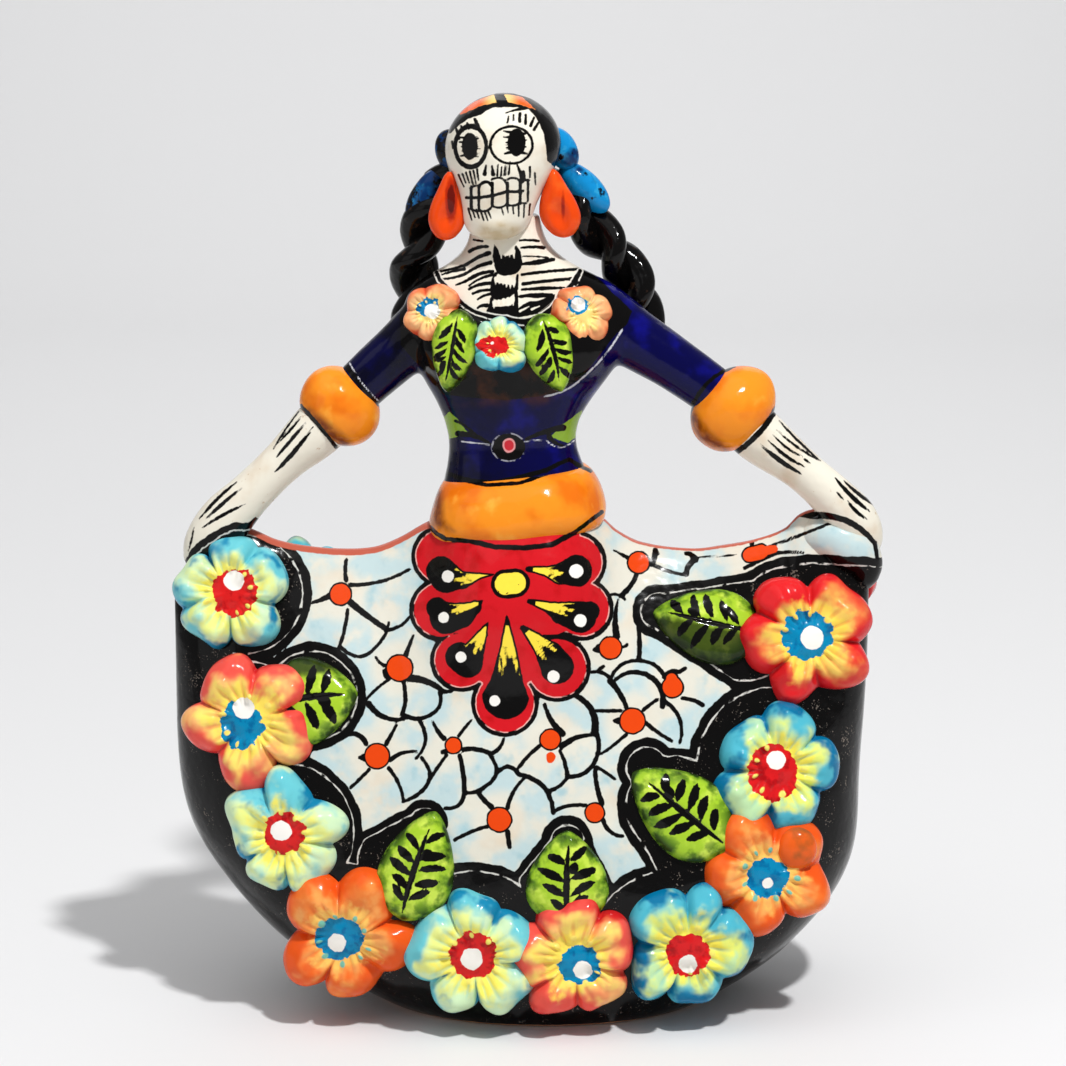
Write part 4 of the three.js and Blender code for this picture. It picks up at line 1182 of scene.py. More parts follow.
GREEN_PATCHES = [
    [(-27.4, 39.8), (-25, 37.5), (-21.4, 33.1), (-24.7, 31.7), (-29.3, 30.3), (-30.6, 37.2)],
    [(16.1, 40.5), (12.2, 37.5), (8.6, 34.9), (5.9, 31.5), (11.3, 29.6), (14.1, 31.6), (17.1, 35.5)],
]
WAIST_BLACK = [
    (-24.7, 32.7, -14, 29.2, 0.9, 2, 1), (-25.7, 36.9, -19.2, 32.7, 0.4, 0.9, 0.8),
    (-2.2, 30.8, 10, 34.7, 0.5, 1.1, 2.2), (5.3, 31.5, 10, 28.5, -0.4, 1.8, 0.9),
    (-27.9, 19.5, -12.7, 16.6, -0.9, 1.6, 1.6), (-12.7, 16.6, 4.3, 20.6, -0.2, 1.5, 1.6),
    (4.3, 20.6, 11.9, 24.3, 0.1, 1.5, 1.4), (11.9, 24.3, 19, 20.8, -0.4, 1.4, 2),
]
SLEEVE_BLACK = [(-61.6, 55.3, -50.4, 41.8, -0.3, 1.7, 1.2), (65.9, 54.9, 51.3, 39.3, -2.4, 1.2, 1.4)]
SLEEVE_WHITE = [(-60.3, 55.9, -50.9, 43.5, -0.7, 0.5, 0.5)]
NECK_BEHIND = 243.0
BODY_FRONT_TO = 1.0

def refine(piece, chosen):
    """Halves the edges of the faces whose middles a test on x, y, z in mm picks."""
    cut = bmesh.new()
    cut.from_mesh(piece.data)
    faces = [face for face in cut.faces if chosen(*(face.calc_center_median() / MM))]
    edges = {edge for face in faces for edge in face.edges}
    bmesh.ops.subdivide_edges(cut, edges=list(edges), cuts=1, use_grid_fill=True)
    cut.to_mesh(piece.data)
    cut.free()
    piece.data.polygons.foreach_set("use_smooth", np.ones(len(piece.data.polygons), bool))

def paint_body(body):
    places = places_of(body)
    x, y, z = places.T
    u, v = drawing(places)
    in_front = y < BODY_FRONT_TO
    paint(body, "bare", np.where(in_front, area_distance(u, v, BARE_CHEST), NECK_BEHIND - z))
    neck_line = np.where(in_front, strokes_distance(u, v, NECK_LINE), np.abs(z - NECK_BEHIND) - 0.8)
    paint(body, "neck_line", neck_line)
    paint_where(
        body, in_front,
        yoke=area_distance(u, v, YOKE),
        yoke_line=strokes_distance(u, v, YOKE_LINE + BELT_LINES + SLEEVE_WHITE),
        bones=np.minimum(strokes_distance(u, v, RIBS), areas_distance(u, v, SPINE)),
        nicks=strokes_distance(u, v, SPINE_NICKS),
        waist_ink=strokes_distance(u, v, WAIST_BLACK + SLEEVE_BLACK),
        belt_blob=oval_distance(u, v, *BELT_BLOB),
        belt_red=oval_distance(u, v, *BELT_RED),
        green=areas_distance(u, v, GREEN_PATCHES),
    )
    paint(body, "shade", ease(-u, -6, 22) * ease(np.abs(y), 60, 0))
    # Painted shade and reflection: a brown band under the bust, on the front only
    paint(body, "low_glaze", ease(-v, -62, -44) * ease(v, 40, 46) * ease(np.abs(u + 8), 22, 10) * (y < 0))

refine(body, lambda x, y, z: y < 2 and -30 < x < 18 and z > 222)
paint_body(body)
print("bodice", len(body.data.vertices), "points after the chest is refined")

# %% [markdown]
# Cobalt goes on thick over white slip. Under the bust it is painted brown in patches: painted shade with a
# warm painted reflection.

# %% The bodice's paint
COBALT = (2, 2, 64)
NAVY = (3, 3, 22)
# Brown of the painted shade and reflection under the bust
SHADE_REFLECTION_BROWN = (84, 42, 16)

def bodice_paint():
    coat = Finish("bodice_paint", COBALT)
    coat.wash((10, 10, 118), 11, 0.52, 0.75)
    coat.lay(NAVY, coat.read("shade") * (coat.mottle(13, 0.4, 0.6) * 0.5 + 0.5))
    coat.brush(BLACK, "yoke", 0, 0.5, 4.0)
    # Painted shade with a warm reflection: brown patches under the bust
    coat.lay(SHADE_REFLECTION_BROWN, coat.read("low_glaze") * coat.mottle(10, 0.44, 0.66) * 0.8)
    coat.brush((134, 170, 52), "green", 0, 0.5)
    coat.brush(BLACK, "waist_ink", 0, 0.35)
    coat.lay((150, 150, 160), coat.mark("belt_blob", 0.45, Wobble=0.3) * coat.mottle(2, 0.42, 0.5))
    coat.brush(BLACK, "belt_blob", 0, 0.5)
    coat.brush((222, 150, 150), "belt_red", 0.3, 0.3)
    coat.brush((196, 40, 52), "belt_red", -0.3, 0.3)
    coat.lay((206, 208, 216), coat.mark("yoke_line", 0, Wobble=0.2, Wave=1.4) * coat.mottle(2.4, 0.36, 0.46))
    bare = coat.mark("bare", 0, Wobble=0.3)
    coat.lay(BONE, bare)
    coat.lay(BONE_SHADE, bare * coat.mottle(9, 0.5, 0.75))
    coat.lay(BLACK, bare * coat.mark("bones", 0.16, Wobble=0.3, Wave=1.3))
    coat.lay(BONE, bare * coat.mark("nicks", 0.05, Wobble=0.2, Wave=1.2))
    coat.lay((226, 222, 212), coat.mark("neck_line", 0.45, Wobble=0.25) * coat.mottle(2, 0.36, 0.44))
    coat.brush(BLACK, "neck_line", 0, 0.3)
    return coat.coat(0.13)

dress(body, bodice_paint())
print("bodice painted")

# %% [markdown]
# The sash is a padded strap round the waist, a little higher on the doll's left hip, and the
# cuffs are puffs at the elbows. Both are rolls of soft clay, so their rings bulge and carry a few
# shallow creases where the cloth gathers.

# %% Sash and cuffs
SASH_ROWS = [
    (156.5, -4, 24, 18, 15), (157.3, -4, 27, 21.9, 18.6), (159.5, -4, 28.6, 24.1, 20.6),
    (164, -3.9, 29, 25.2, 21.3), (170, -3.8, 27.6, 23.8, 20), (174.6, -3.8, 25.2, 20.9, 18),
    (176.9, -3.9, 22.8, 17.7, 15.6), (177.5, -4, 20.5, 15, 13.5),
]
SASH_TILT = 0.09
SASH_TOP = [(-27, 19.4), (-20.7, 16.8), (-15.1, 15.8), (-4.3, 16.4), (4.9, 19.7), (13.2, 23), (19, 20.4)]
# Middle, direction and the half sizes across, along and in depth
CUFFS = {
    "left_cuff": [(-61.5, -3, 198.8), (-1, 0, -1), (14, 11.5, 13)],
    "right_cuff": [(66.4, -3, 198), (1.05, 0, -1), (15.2, 11.9, 13.6)],
}

def make_sash():
    rings = stack_rings(SASH_ROWS, np.linspace(156.5, 177.5, 64), 220, 2.2, SASH_TILT)
    middle = np.array([-4, 0, 0])
    outward = rings - middle
    outward[..., 2] = 0
    outward /= np.linalg.norm(outward, axis=-1, keepdims=True)
    bulge = 0.45 * lumps(rings, 24, 8)
    return rings_to_solid("sash", rings + outward * bulge[..., None])

def turned(along):
    """Axes of a piece that points along a direction: across it in the picture, along it and in depth."""
    ahead = np.array(along, float) / np.linalg.norm(along)
    side = np.cross([0, 1, 0], ahead)
    side /= np.linalg.norm(side)
    return side, ahead, np.cross(ahead, side)

def puff_rings(at, along, sizes, rows=72, columns=120, squareness=2.3, seed=5):
    """A puffed roll: full in the middle, drawn in at both ends, with shallow gathers."""
    side, ahead, depth = turned(along)
    turn = np.linspace(-math.pi / 2, math.pi / 2, rows + 2)[1:-1, None]
    length, radius = np.sin(turn), np.abs(np.cos(turn)) ** (2 / squareness)
    angle = turns(columns)
    x = sizes[0] * radius * np.cos(angle)
    y = sizes[1] * length + 0 * angle
    z = sizes[2] * radius * np.sin(angle)
    rings = np.array(at) + x[..., None] * side + y[..., None] * ahead + z[..., None] * depth
    swell = 1 + 0.022 * lumps(rings, 13, seed)
    middle = np.array(at) + y[..., None] * ahead
    return middle + (rings - middle) * swell[..., None]

sash = make_sash()
cuffs = [rings_to_solid(name, puff_rings(*cuff, seed=len(name))) for name, cuff in CUFFS.items()]
print("sash and cuffs", [len(piece.data.polygons) for piece in (sash, *cuffs)])

# %% [markdown]
# Sash and cuffs are one yolk-orange glaze. Their lower left, away from the light, is painted brown as shade,
# and a liner brush has closed both ends of the cuffs with black.

# %% The yolk-orange paint
YOLK = (247, 146, 34)
YOLK_DEEP = (232, 114, 18)
# Brown of the painted shade on the lower left of each roll
SHADE_BROWN = (128, 58, 16)
CUFF_LINES = {
    "left_cuff": [(-76.3, 41.8, -64.8, 28.3, 0.3, 1.3, 1.1), (-61.6, 55.3, -50.8, 42.3, -0.3, 1.5, 1.3)],
    "right_cuff": [(79.8, 40.8, 66.5, 26.3, 1.3, 1.8, 1.6), (66.4, 54.9, 51.3, 38.8, -2.4, 1, 1)],
}
# Where the painted shade lies on each cuff, as chains of circles
CUFF_SHADES = {
    "left_cuff": [[(-73.5, 39.6, 0.6), (-68.3, 33.4, 2.2), (-62.5, 28.6, 2)]],
    "right_cuff": [[(52.6, 38, 0.8), (56, 32, 1.4), (63, 27.4, 0.8)]],
}

def yolk_paint():
    coat = Finish("yolk_orange", YOLK)
    coat.wash(YOLK_DEEP, 15, 0.46, 0.7)
    coat.wash((253, 176, 66), 9, 0.58, 0.78)
    # Painted shade: brown on the lower left of each roll
    coat.lay(SHADE_BROWN, coat.read("pool").eased(2.4, -1.0) * (coat.mottle(3.4, 0.3, 0.6) * 0.4 + 0.6))
    coat.brush(BLACK, "edge_ink", 0, 0.3)
    return coat.coat(0.12)

yolk = yolk_paint()
for cuff in cuffs:
    u, v = drawing(places_of(cuff))
    paint(cuff, "edge_ink", strokes_distance(u, v, CUFF_LINES[cuff.name]))
    paint(cuff, "pool", blots_distance(u, v, CUFF_SHADES[cuff.name]))
    dress(cuff, yolk)
u, v = drawing(places_of(sash))
edges = np.minimum(line_distance(u, v, SASH_TOP, 1.3), line_distance(u, v, SASH_SHADOW, 1.4))
paint_where(sash, places_of(sash)[:, 1] < 0, edge_ink=edges)
# Painted shade down the sash's left end
paint(sash, "pool", chain_distance(u, v, [(-31, 13, 0.4), (-31.5, 4, 1.2), (-26, 0.5, -0.8)]))
dress(sash, yolk)
print("yolk orange on", [piece.name for piece in (sash, *cuffs)])

# %% [markdown]
# Each forearm is a tapering roll that flattens into a mitten: the hand is pressed over the corner
# of the skirt, and its fingers are only brush lines. One limb of rings along a path does for both.
# The corner of cloth that folds over the right hand is a short roll, painted as the skirt is.

# %% Forearms and hands
FOREARMS = {
    "left_forearm": [
        (-61.5, -3, 198.6, 8.4), (-69, -4, 191.1, 9), (-79.9, -5, 181.1, 7.1), (-90.4, -5, 170.8, 7.2),
        (-99.4, -3.6, 161.2, 8.6), (-105, -2.5, 153.2, 8.2), (-107.9, -2, 147.3, 6.2), (-109, -2, 144.4, 3.5),
        (-109.3, -2, 143.4, 0.8),
    ],
    "right_forearm": [
        (66.4, -3, 197.9, 8.4), (74.3, -4, 189.8, 9), (89, -5, 178.1, 6.9), (99.5, -4, 168.6, 7.4),
        (106.3, -2, 160.6, 8.2), (110, -0.5, 153, 6.8), (111.6, 0, 149, 3.6), (111.8, 0, 148, 0.8),
    ],
}
# Middle line and radius of the corner of cloth that is folded over the right hand
CLOTH_ROLL = [
    (86, 1, 152.5, 2), (90.5, 0, 154.6, 5), (95, -1.4, 155.4, 7.2), (100, -2.6, 154.6, 8.4),
    (105.4, -3.4, 151.6, 8.6), (109.2, -3.4, 147, 7.2), (110.6, -3, 142, 4.8), (110.8, -2, 138, 2),
]

def make_cloth_roll():
    """The corner of the cloth that is folded over the right hand."""
    roll = rings_to_solid("right_cloth_roll", limb_rings(CLOTH_ROLL, 90, 72))
    places = places_of(roll)
    places[:, 2] += 0.5 * lumps(places, 17, 2)
    move_to(roll, places)
    paint_skirt(roll)
    paint(roll, "crest", np.full(len(places), FAR))
    dress(roll, skirt.data.materials[0])
    return roll

forearms = [rings_to_solid(name, limb_rings(rows, 170, 72)) for name, rows in FOREARMS.items()]
cloth_roll = make_cloth_roll()
print("forearms", [len(piece.data.polygons) for piece in forearms])

# %% [markdown]
# Two bones run down each forearm as long tapering strokes, and shorter ones mark the fingers.
# The black of the hem is brushed on over the left hand, with its scratched white line.

# %% Bones of the arms
ARM_BONES = {
    "left_forearm": [
        (-77, 40, -85.5, 27.5, -0.3, 0.5, 0.6), (-74.4, 36.7, -84.4, 24.9, 0, 0.8, 1.2),
        (-72.2, 35, -84.8, 20.1, 0.5, 1, 1.7), (-76.3, 38.3, -84, 29.5, 0.3, 0.8, 0.6),
        (-97.4, 16.8, -108.5, 6.2, -0.4, 0.8, 1.1), (-95.7, 14.8, -107.5, 4.6, -0.3, 1, 1.2),
        (-94.7, 9.5, -108.9, 1.6, -0.4, 1, 0.9), (-111.5, 2, -113.4, -6, 0.2, 0.6, 0.5),
        (-103, 12.5, -110, 4.6, 0.3, 0.6, 0.5),
    ],
    "right_forearm": [
        (80.9, 37, 94.6, 23.7, -0.4, 0.7, 0.8), (80, 34.2, 94.6, 23.7, -0.8, 0.6, 0.7),
        (78.8, 32.7, 88.6, 25.2, -0.9, 0.6, 0.9), (77.3, 30.5, 89.6, 21.7, -0.8, 0.8, 1.1),
        (74.5, 29.3, 88.3, 19.4, -0.5, 1.2, 1.7), (102.2, 17.2, 112.5, 9.1, -0.4, 0.9, 1.2),
        (112.5, 9.1, 114.3, 5.1, 0.3, 1, 0.8), (99.4, 18.2, 110.7, 7.1, -0.6, 1.2, 1.5),
        (103.4, 10.6, 110.2, 4.3, -0.6, 1.1, 1), (99.7, 13.9, 102.2, 10.6, 0, 0.7, 0.6),
        (88.7, 24.7, 91.3, 22.7, 0, 0.8, 0.6),
    ],
}

# The black of the hem runs over the left hand below this edge
LEFT_HAND_HEM = [
    (-114.8, -9.9), (-113.3, -6.6), (-110.7, -3.6), (-107, -0.9), (-103.3, 1.4), (-98.7, 3.5), (-93.9, 3.5),
    (-91.2, 5.3), (-86, 1), (-86, -25), (-118, -25),
]

def bone_paint():
    coat = Finish("bone_paint", BONE)
    coat.wash(BONE_SHADE, 13, 0.46, 0.74)
    coat.wash((206, 184, 156), 2.2, 0.66, 0.74)
    coat.brush(BLACK, "hem", 0, 0.6, 3.0)
    scratch = coat.mark("hem", -2.7, Wobble=0.6) * -1 + 1
    coat.lay((214, 212, 205), coat.mark("hem", -2.2, Wobble=0.6) * scratch)
    coat.brush(BLACK, "bones", 0.12, 0.3, 1.3)
    return coat.coat()

bone = bone_paint()
for forearm, cuff in zip(forearms, cuffs):
    u, v = drawing(places_of(forearm))
    y = places_of(forearm)[:, 1]
    ink = strokes_distance(u, v, ARM_BONES[forearm.name], 0.8)
    ink = np.minimum(ink, strokes_distance(u, v, CUFF_LINES[cuff.name] + WRIST_LINES))
    paint_where(forearm, y < -2, bones=ink)
    paint_where(forearm, (y < 3) & (u < 0), hem=area_distance(u, v, LEFT_HAND_HEM))
    dress(forearm, bone)
print("bones on", [piece.name for piece in forearms])

# %% [markdown]
# The skull is an egg that narrows to a small square chin. Its sockets, cheeks and chin are only
# dents and swellings under the brushwork, so they are added as soft rises on the drawing plane.
# Its rings and columns are close together, because the teeth and lashes are fine lines.

# %% The skull
SKULL_ROWS = [
    (254.3, -11, 4.6, 12.8, -5), (256, -10.8, 8, 15.6, -1.5), (260, -10.3, 10.8, 17.6, 3),
    (265, -9.8, 12.3, 18.4, 8), (270, -9.3, 14.2, 18.8, 13), (275, -8.9, 16.6, 19.2, 16.5),
    (280, -8.5, 18.3, 19.4, 18.8), (285, -8.2, 18.5, 19, 19), (290, -8, 16.8, 17.2, 17.6),
    (294.5, -7.8, 13.4, 13.8, 14.4), (298, -7.7, 8.4, 8.8, 9.2), (299.7, -7.7, 3, 3.2, 3.4),
]
# Middle on the drawing plane, reach right and up, and rise (or dent) of each soft form
FACE_FORMS = [
    (-20.2, 126.5, 4.6, 5.6, -0.9), (-7.2, 128.2, 5.4, 5.4, -0.9), (-14.6, 119.5, 2.2, 3.4, -0.5),
    (-14.5, 124, 1.6, 4, 0.4), (-21.5, 117.5, 3.5, 3, 0.5), (-5.5, 118, 3.5, 3, 0.5),
    (-12.8, 100.5, 4, 2.6, 0.9), (-13, 111.5, 7.5, 3.4, 0.35),
]

def make_skull():
    rows, columns = 160, 240
    rise = -np.cos(np.linspace(0.02, math.pi - 0.02, rows))
    levels = np.interp(rise, [rise[0], rise[-1]], [SKULL_ROWS[0][0], SKULL_ROWS[-1][0]])
    return rings_to_solid("skull", stack_rings(SKULL_ROWS, levels, columns, 2.1))

def press_forms(piece, forms):
    """Raises and dents the side that faces the viewer."""
    places = places_of(piece)
    u, v = drawing(places)
    front = ease(-places[:, 1], 0, 6)
    for right, up, wide, high, rise in forms:
        places[:, 1] -= rise * front * np.exp(-(((u - right) / wide) ** 2) - ((v - up) / high) ** 2)
    move_to(piece, places)

skull = make_skull()
press_forms(skull, FACE_FORMS)
print("skull", len(skull.data.polygons), "faces")

# %% [markdown]
# The face is a drawing in black on bone: ringed eyes with lashes, two nose drops, and a grid of
# teeth whose lines bow with the jaw. Fine hairs round them are single flicks of a dry brush. The
# black hair frames the face and covers the back of the head, with two orange locks at the parting.

# %% Brush marks on the face
FACE_EDGE = [
    (-34, 128), (-29.4, 130), (-28, 131.2), (-26, 133.9), (-23.5, 135.2), (-20.4, 136.5), (-17.1, 137.5),
    (-15.1, 139), (-13.2, 139.9), (-8.6, 140.1), (-4.3, 139.9), (-2, 139.9), (0.3, 137.5), (2, 135),
    (3.6, 131.1), (4.3, 126.6), (4.6, 122.4), (5.9, 121.4), (9, 118), (6, 96), (-7.6, 88), (-17.4, 88),
    (-34, 98),
]
LOCKS = [
    [(-24.8, 138.5), (-20.5, 141.5), (-13, 144.3), (-11.9, 141.6), (-16.8, 140.7), (-23.7, 137.6)],
    [(-9.6, 144.6), (-3.7, 143.4), (0.7, 139.3), (-3.1, 140.6), (-8.3, 141.8)],
]
EYE_RINGS = [(-20.5, 127.1, 5.1, 6.7, 1.3), (-7.1, 127.6, 6.9, 6.1, 0.7)]
PUPILS = [(-20.8, 127.2, 2.6, 4.5), (-5.4, 128.5, 3, 4.6)]
PUPIL_HAIRS = [(-21, 127.2, 4.1), (-5.2, 128.5, -4.3)]
LASHES = [
    (-26.3, 126.6, -26.6, 128.9, 0.1, 0.6, 0.4), (-24.5, 129.9, -25.3, 133, -0.1, 1.1, 0.6),
    (-23, 132.2, -23.7, 133.9, 0, 0.6, 0.5), (-21, 133, -21.7, 134.9, 0, 0.6, 0.5),
    (-18.1, 133.5, -19.1, 136.1, -0.1, 1.2, 0.9), (-8.4, 135, -8, 137, 0, 0.5, 0.4),
    (-6.4, 135.2, -6.4, 137.5, 0, 0.5, 0.4), (-4.4, 135.5, -4.2, 138, 0.1, 1, 0.8),
    (-2.4, 134.6, -2.4, 137.5, 0, 0.8, 0.6), (-0.8, 133.9, 0.3, 136.6, 0, 0.9, 0.6),
    (0.3, 132.6, 1.8, 135, 0, 0.9, 0.6),
]
HAIR_STROKES = [
    (-11.3, 145, -12, 140.8, 0.2, 1.9, 1.7), (-17.9, 139.6, -12.3, 140.8, -0.1, 1.2, 0.9),
    (-12.3, 140.8, -6.8, 141.6, -0.1, 1.2, 0.8), (-8, 141.7, -0.8, 140.1, 0.5, 0.8, 0.9),
    (-9.2, 138.1, -2, 139.9, 0.2, 0.4, 1.4), (-20.7, 137, -27.3, 132, -0.4, 1, 1.2),
]
NOSE = [[(-15.9, 118.1, 0.65), (-15.4, 121, 0.15)], [(-13.1, 118, 0.65), (-13.5, 120.9, 0.15)]]
TEETH = [
    (-21.9, 110.3, -8.4, 112.4, -0.7, 0.8, 0.9), (-8.4, 112.4, -3.2, 112.5, -0.2, 0.9, 0.7),
    (-20.3, 113.9, -20.3, 106.7, 0, 0.8, 0.9), (-17.8, 114.3, -17.8, 106.1, 0, 0.8, 0.7),
    (-13.4, 115.1, -13.4, 107.5, 0, 0.9, 0.8), (-8.4, 115.1, -8.4, 107.7, 0, 0.9, 0.8),
    (-4.2, 115.9, -4.2, 108.4, 0, 0.9, 0.8), (-1.6, 115.9, -1.7, 109.2, 0, 0.7, 0.6),
    (-17.6, 114.3, -13.4, 113.9, 1.4, 0.8, 0.9), (-13.6, 116.3, -8.4, 113.9, 1.7, 0.5, 0.6),
    (-8.4, 116.3, -4.4, 115.9, 0.7, 0.5, 0.6), (-20.7, 113.5, -17.9, 114.3, 0.2, 0.5, 0.5),
    (-3.6, 115.5, -1.2, 116.1, 0.3, 0.6, 0.5), (-20.5, 106.7, -17.9, 105.8, -0.2, 0.6, 0.6),
    (-17.8, 106.1, -13.4, 107.5, -0.9, 0.7, 0.6), (-13.4, 107.5, -8.4, 108.4, -0.9, 0.6, 0.6),
    (-8.2, 107.9, -4.3, 108.5, -0.5, 0.6, 0.6), (-3.9, 108.7, -2.3, 108.4, -0.1, 0.5, 0.5),
]
FLICKS = combed([
    ((-24.5, 117.8), (-18.4, 119.6), (-22.4, 113.2), (-17.8, 115.2), 6, 0.5, 0.25),
    ((-21.6, 124.6), (-21.6, 129.8), (-24.3, 123.8), (-24.3, 130.2), 5, 0.9, 0.25),
    ((-20, 124.2), (-20, 129.4), (-17.7, 123.7), (-17.9, 129.8), 4, 0.9, 0.25),
    ((-6.8, 125.4), (-6.6, 131.6), (-9.9, 124.6), (-9.6, 132.2), 5, 1.0, 0.25),
    ((-4.2, 125.2), (-4.2, 131), (-1.3, 124.6), (-1.5, 131.6), 4, 1.0, 0.25),
    ((-11.8, 117.3), (-8, 118), (-11.5, 121.9), (-7.6, 122.1), 4, 0.5, 0.3),
    ((-21.3, 106.7), (-14.7, 105.8), (-19.9, 102.2), (-13.6, 103), 6, 0.5, 0.25),
    ((-10.4, 107.1), (-1, 108.2), (-9.6, 104.3), (-1.4, 103.8), 6, 0.45, 0.25),
]) + [
    (-5.2, 121, -3.6, 115.6, 0.2, 0.5, 1.1), (-3.2, 118.8, -2.8, 116.4, 0, 0.9, 0.7),
    (-1, 120.4, -1, 117, 0, 0.6, 0.4), (0.6, 118.5, 0.8, 114.6, 0, 0.4, 0.3),
]
# Where the painted shade under the chin lies: middle right, up, half-width and half-height
CHIN_SHADE = (-11, 99, 8, 4)

def paint_skull(skull):
    places = places_of(skull)
    x, y, z = places.T
    u, v = drawing(places)
    rings = nearest(np.abs(oval_distance(u, v, *ring[:4])) - ring[4] / 2 for ring in EYE_RINGS)
    hairs = [
        (right, up + 0.85 * k, right + reach * (0.75 + 0.25 * math.sin(4 * k)), up + 0.8 * k, 0, 1.1, 0.2)
        for right, up, reach in PUPIL_HAIRS for k in range(-4, 5)
    ]
    ovals = nearest(oval_distance(u, v, *pupil) for pupil in PUPILS)
    pupils = np.minimum(ovals, strokes_distance(u, v, hairs))
    lines = strokes_distance(u, v, LASHES + TEETH)
    hair = np.where(y < -2, -area_distance(u, v, FACE_EDGE), np.maximum(262 - z, -2 - y))
    strands = np.where(y < 0, strokes_distance(u, v, HAIR_STROKES), FAR)
    paint(skull, "hair", np.minimum(hair, strands))
    paint_where(
        skull, y < 0,
        locks=areas_distance(u, v, LOCKS),
        pupils=pupils,
        face_ink=nearest([rings, lines, blots_distance(u, v, NOSE)]),
        flicks=strokes_distance(u, v, FLICKS),
        chin=oval_distance(u, v, *CHIN_SHADE),
    )
    paint(skull, "lock_red", ease(np.abs(u + 10.8), 2, 7))

def skull_paint():
    coat = Finish("skull_paint", BONE)
    coat.wash(BONE_SHADE, 11, 0.5, 0.76)
    # Painted shade: the chin and the underside of the jaw are darker tan
    coat.lay((204, 184, 148), coat.read("chin").eased(1, -2.6) * (coat.mottle(4, 0.3, 0.7) * 0.5 + 0.5))
    coat.brush(BLACK, "flicks", 0.15, 0.2, 1.2)
    coat.brush(BLACK, "face_ink", 0.12, 0.25, 1.2)
    coat.brush(BLACK, "pupils", 0, 0.3, 1.0)
    coat.brush(BLACK, "hair", 0, 0.3, 1.6)
    locks = coat.mark("locks", 0, Wobble=0.4, Wave=1.2)
    coat.lay((250, 204, 120), locks)
    coat.lay((240, 96, 30), locks * coat.read("lock_red"))
    return coat.coat()

paint_skull(skull)
dress(skull, skull_paint())
print("skull painted with", len(TEETH) + len(FLICKS) + len(LASHES), "strokes")

# %% [markdown]
# The flowers are painted wet in wet: a pale top on each petal, a stronger colour that runs into
# the valleys and round the edge, a warm ring near the middle, and a blot with a white dot. One
# recipe with six sets of colours paints all sixteen.

# %% Flower paints
# Top, pale, edge, deep and heart colours, the blot, its shade and the beads, then how patchy the
# colours are and how far out the edge and the deep colour begin
FLOWER_COLOURS = {
    "turquoise": [
        (226, 236, 118), (188, 224, 170), (78, 180, 200), (2, 112, 156), (250, 236, 84), (212, 26, 30),
        (168, 10, 18), (240, 228, 110), 0.85, 0.62, 0.86,
    ],
    "mint": [
        (232, 240, 140), (206, 234, 190), (106, 198, 208), (24, 132, 172), (250, 238, 96), (214, 30, 30),
        (168, 10, 18), (240, 228, 110), 0.95, 0.74, 0.98,
    ],
    "salmon": [
        (252, 222, 110), (248, 184, 112), (236, 84, 72), (206, 34, 36), (252, 224, 92), (4, 132, 178),
        (0, 98, 150), (250, 224, 110), 0.75, 0.62, 1.0,
    ],
    "red": [
        (252, 206, 98), (246, 140, 80), (220, 36, 40), (186, 12, 24), (252, 216, 84), (4, 132, 178),
        (0, 98, 150), (250, 214, 96), 0.45, 0.5, 0.98,
    ],
    "orange": [
        (248, 168, 90), (242, 130, 56), (234, 88, 26), (206, 60, 14), (252, 200, 100), (4, 132, 178),
        (0, 98, 150), (120, 190, 170), 0.6, 0.56, 1.0,
    ],
    "peach": [
        (250, 200, 140), (246, 168, 112), (234, 120, 74), (206, 70, 40), (252, 222, 130), (14, 136, 190),
        (0, 98, 150), (250, 226, 150), 0.8, 0.7, 1.05,
    ],
}

def flower_paint(name, colours):
    top, pale, edge, deep, heart, blot, blot_shade, bead, patches, edge_from, deep_from = colours
    coat = Finish(name + "_flower_paint", top)
    share, valley, groove = (coat.read("petal_" + layer) for layer in ("reach", "valley", "groove"))
    soft = lambda size, much: (coat.mottle(size, 0.26, 0.74) - 0.5) * much
    coat.lay(pale, (share + soft(8, 0.55)).eased(0.44, 0.8))
    coat.lay(edge, (share + valley * 0.25 + soft(16, patches)).eased(edge_from, edge_from + 0.38))
    coat.lay(deep, (share + valley * 0.32 + soft(12, patches)).eased(deep_from, deep_from + 0.34))
    coat.lay(heart, (share + soft(5, 0.35)).eased(0.62, 0.36) * 0.9)
    coat.lay(edge, groove.eased(0.35, 0.95) * 0.3)
    middle = coat.mark("blot", 0, Wobble=2.6, Wave=3.2)
    coat.lay(blot, middle)
    coat.lay(blot_shade, middle * coat.mottle(3.5, 0.48, 0.68))
    coat.lay(bead, coat.read("petal_bead").eased(0.4, 0.7))
    coat.brush(WHITE, "dot", 0, 0.7, 2.4)
    return coat.coat(0.14, 5.0, 1.3)

flower_paints = {name: flower_paint(name, colours) for name, colours in FLOWER_COLOURS.items()}
print("flower paints", list(flower_paints))

# %% [markdown]
# A flower is a pat of clay with five thumbed petals. The rule is the same for all sixteen, so a
# Geometry Nodes tree makes them: a flat grid is wrapped round the middle, the edge swells into
# petals of uneven width, valleys and tool grooves are pressed in, and the grid's last rows turn
# under to close the pat. Noise with a fixed seed gives each flower petals of its own.

# %% Flower tree
PETALS = 5
PETAL_MIDDLE = 0.54
PETAL_LOBE = 0.46
FLOWER_AROUND = 150
FLOWER_ALONG = 44
TOP_SHARE = 0.84
BEADS = 9
BEAD_REACH = 0.37
WELD = 0.000003
FLOWER_INPUTS = {
    "Radius": 0.02, "Height": 0.008, "Root": 0.007, "Seed": 1.0, "Roundness": 0.0, "Valley depth": 0.5,
    "Groove depth": 0.06,
}

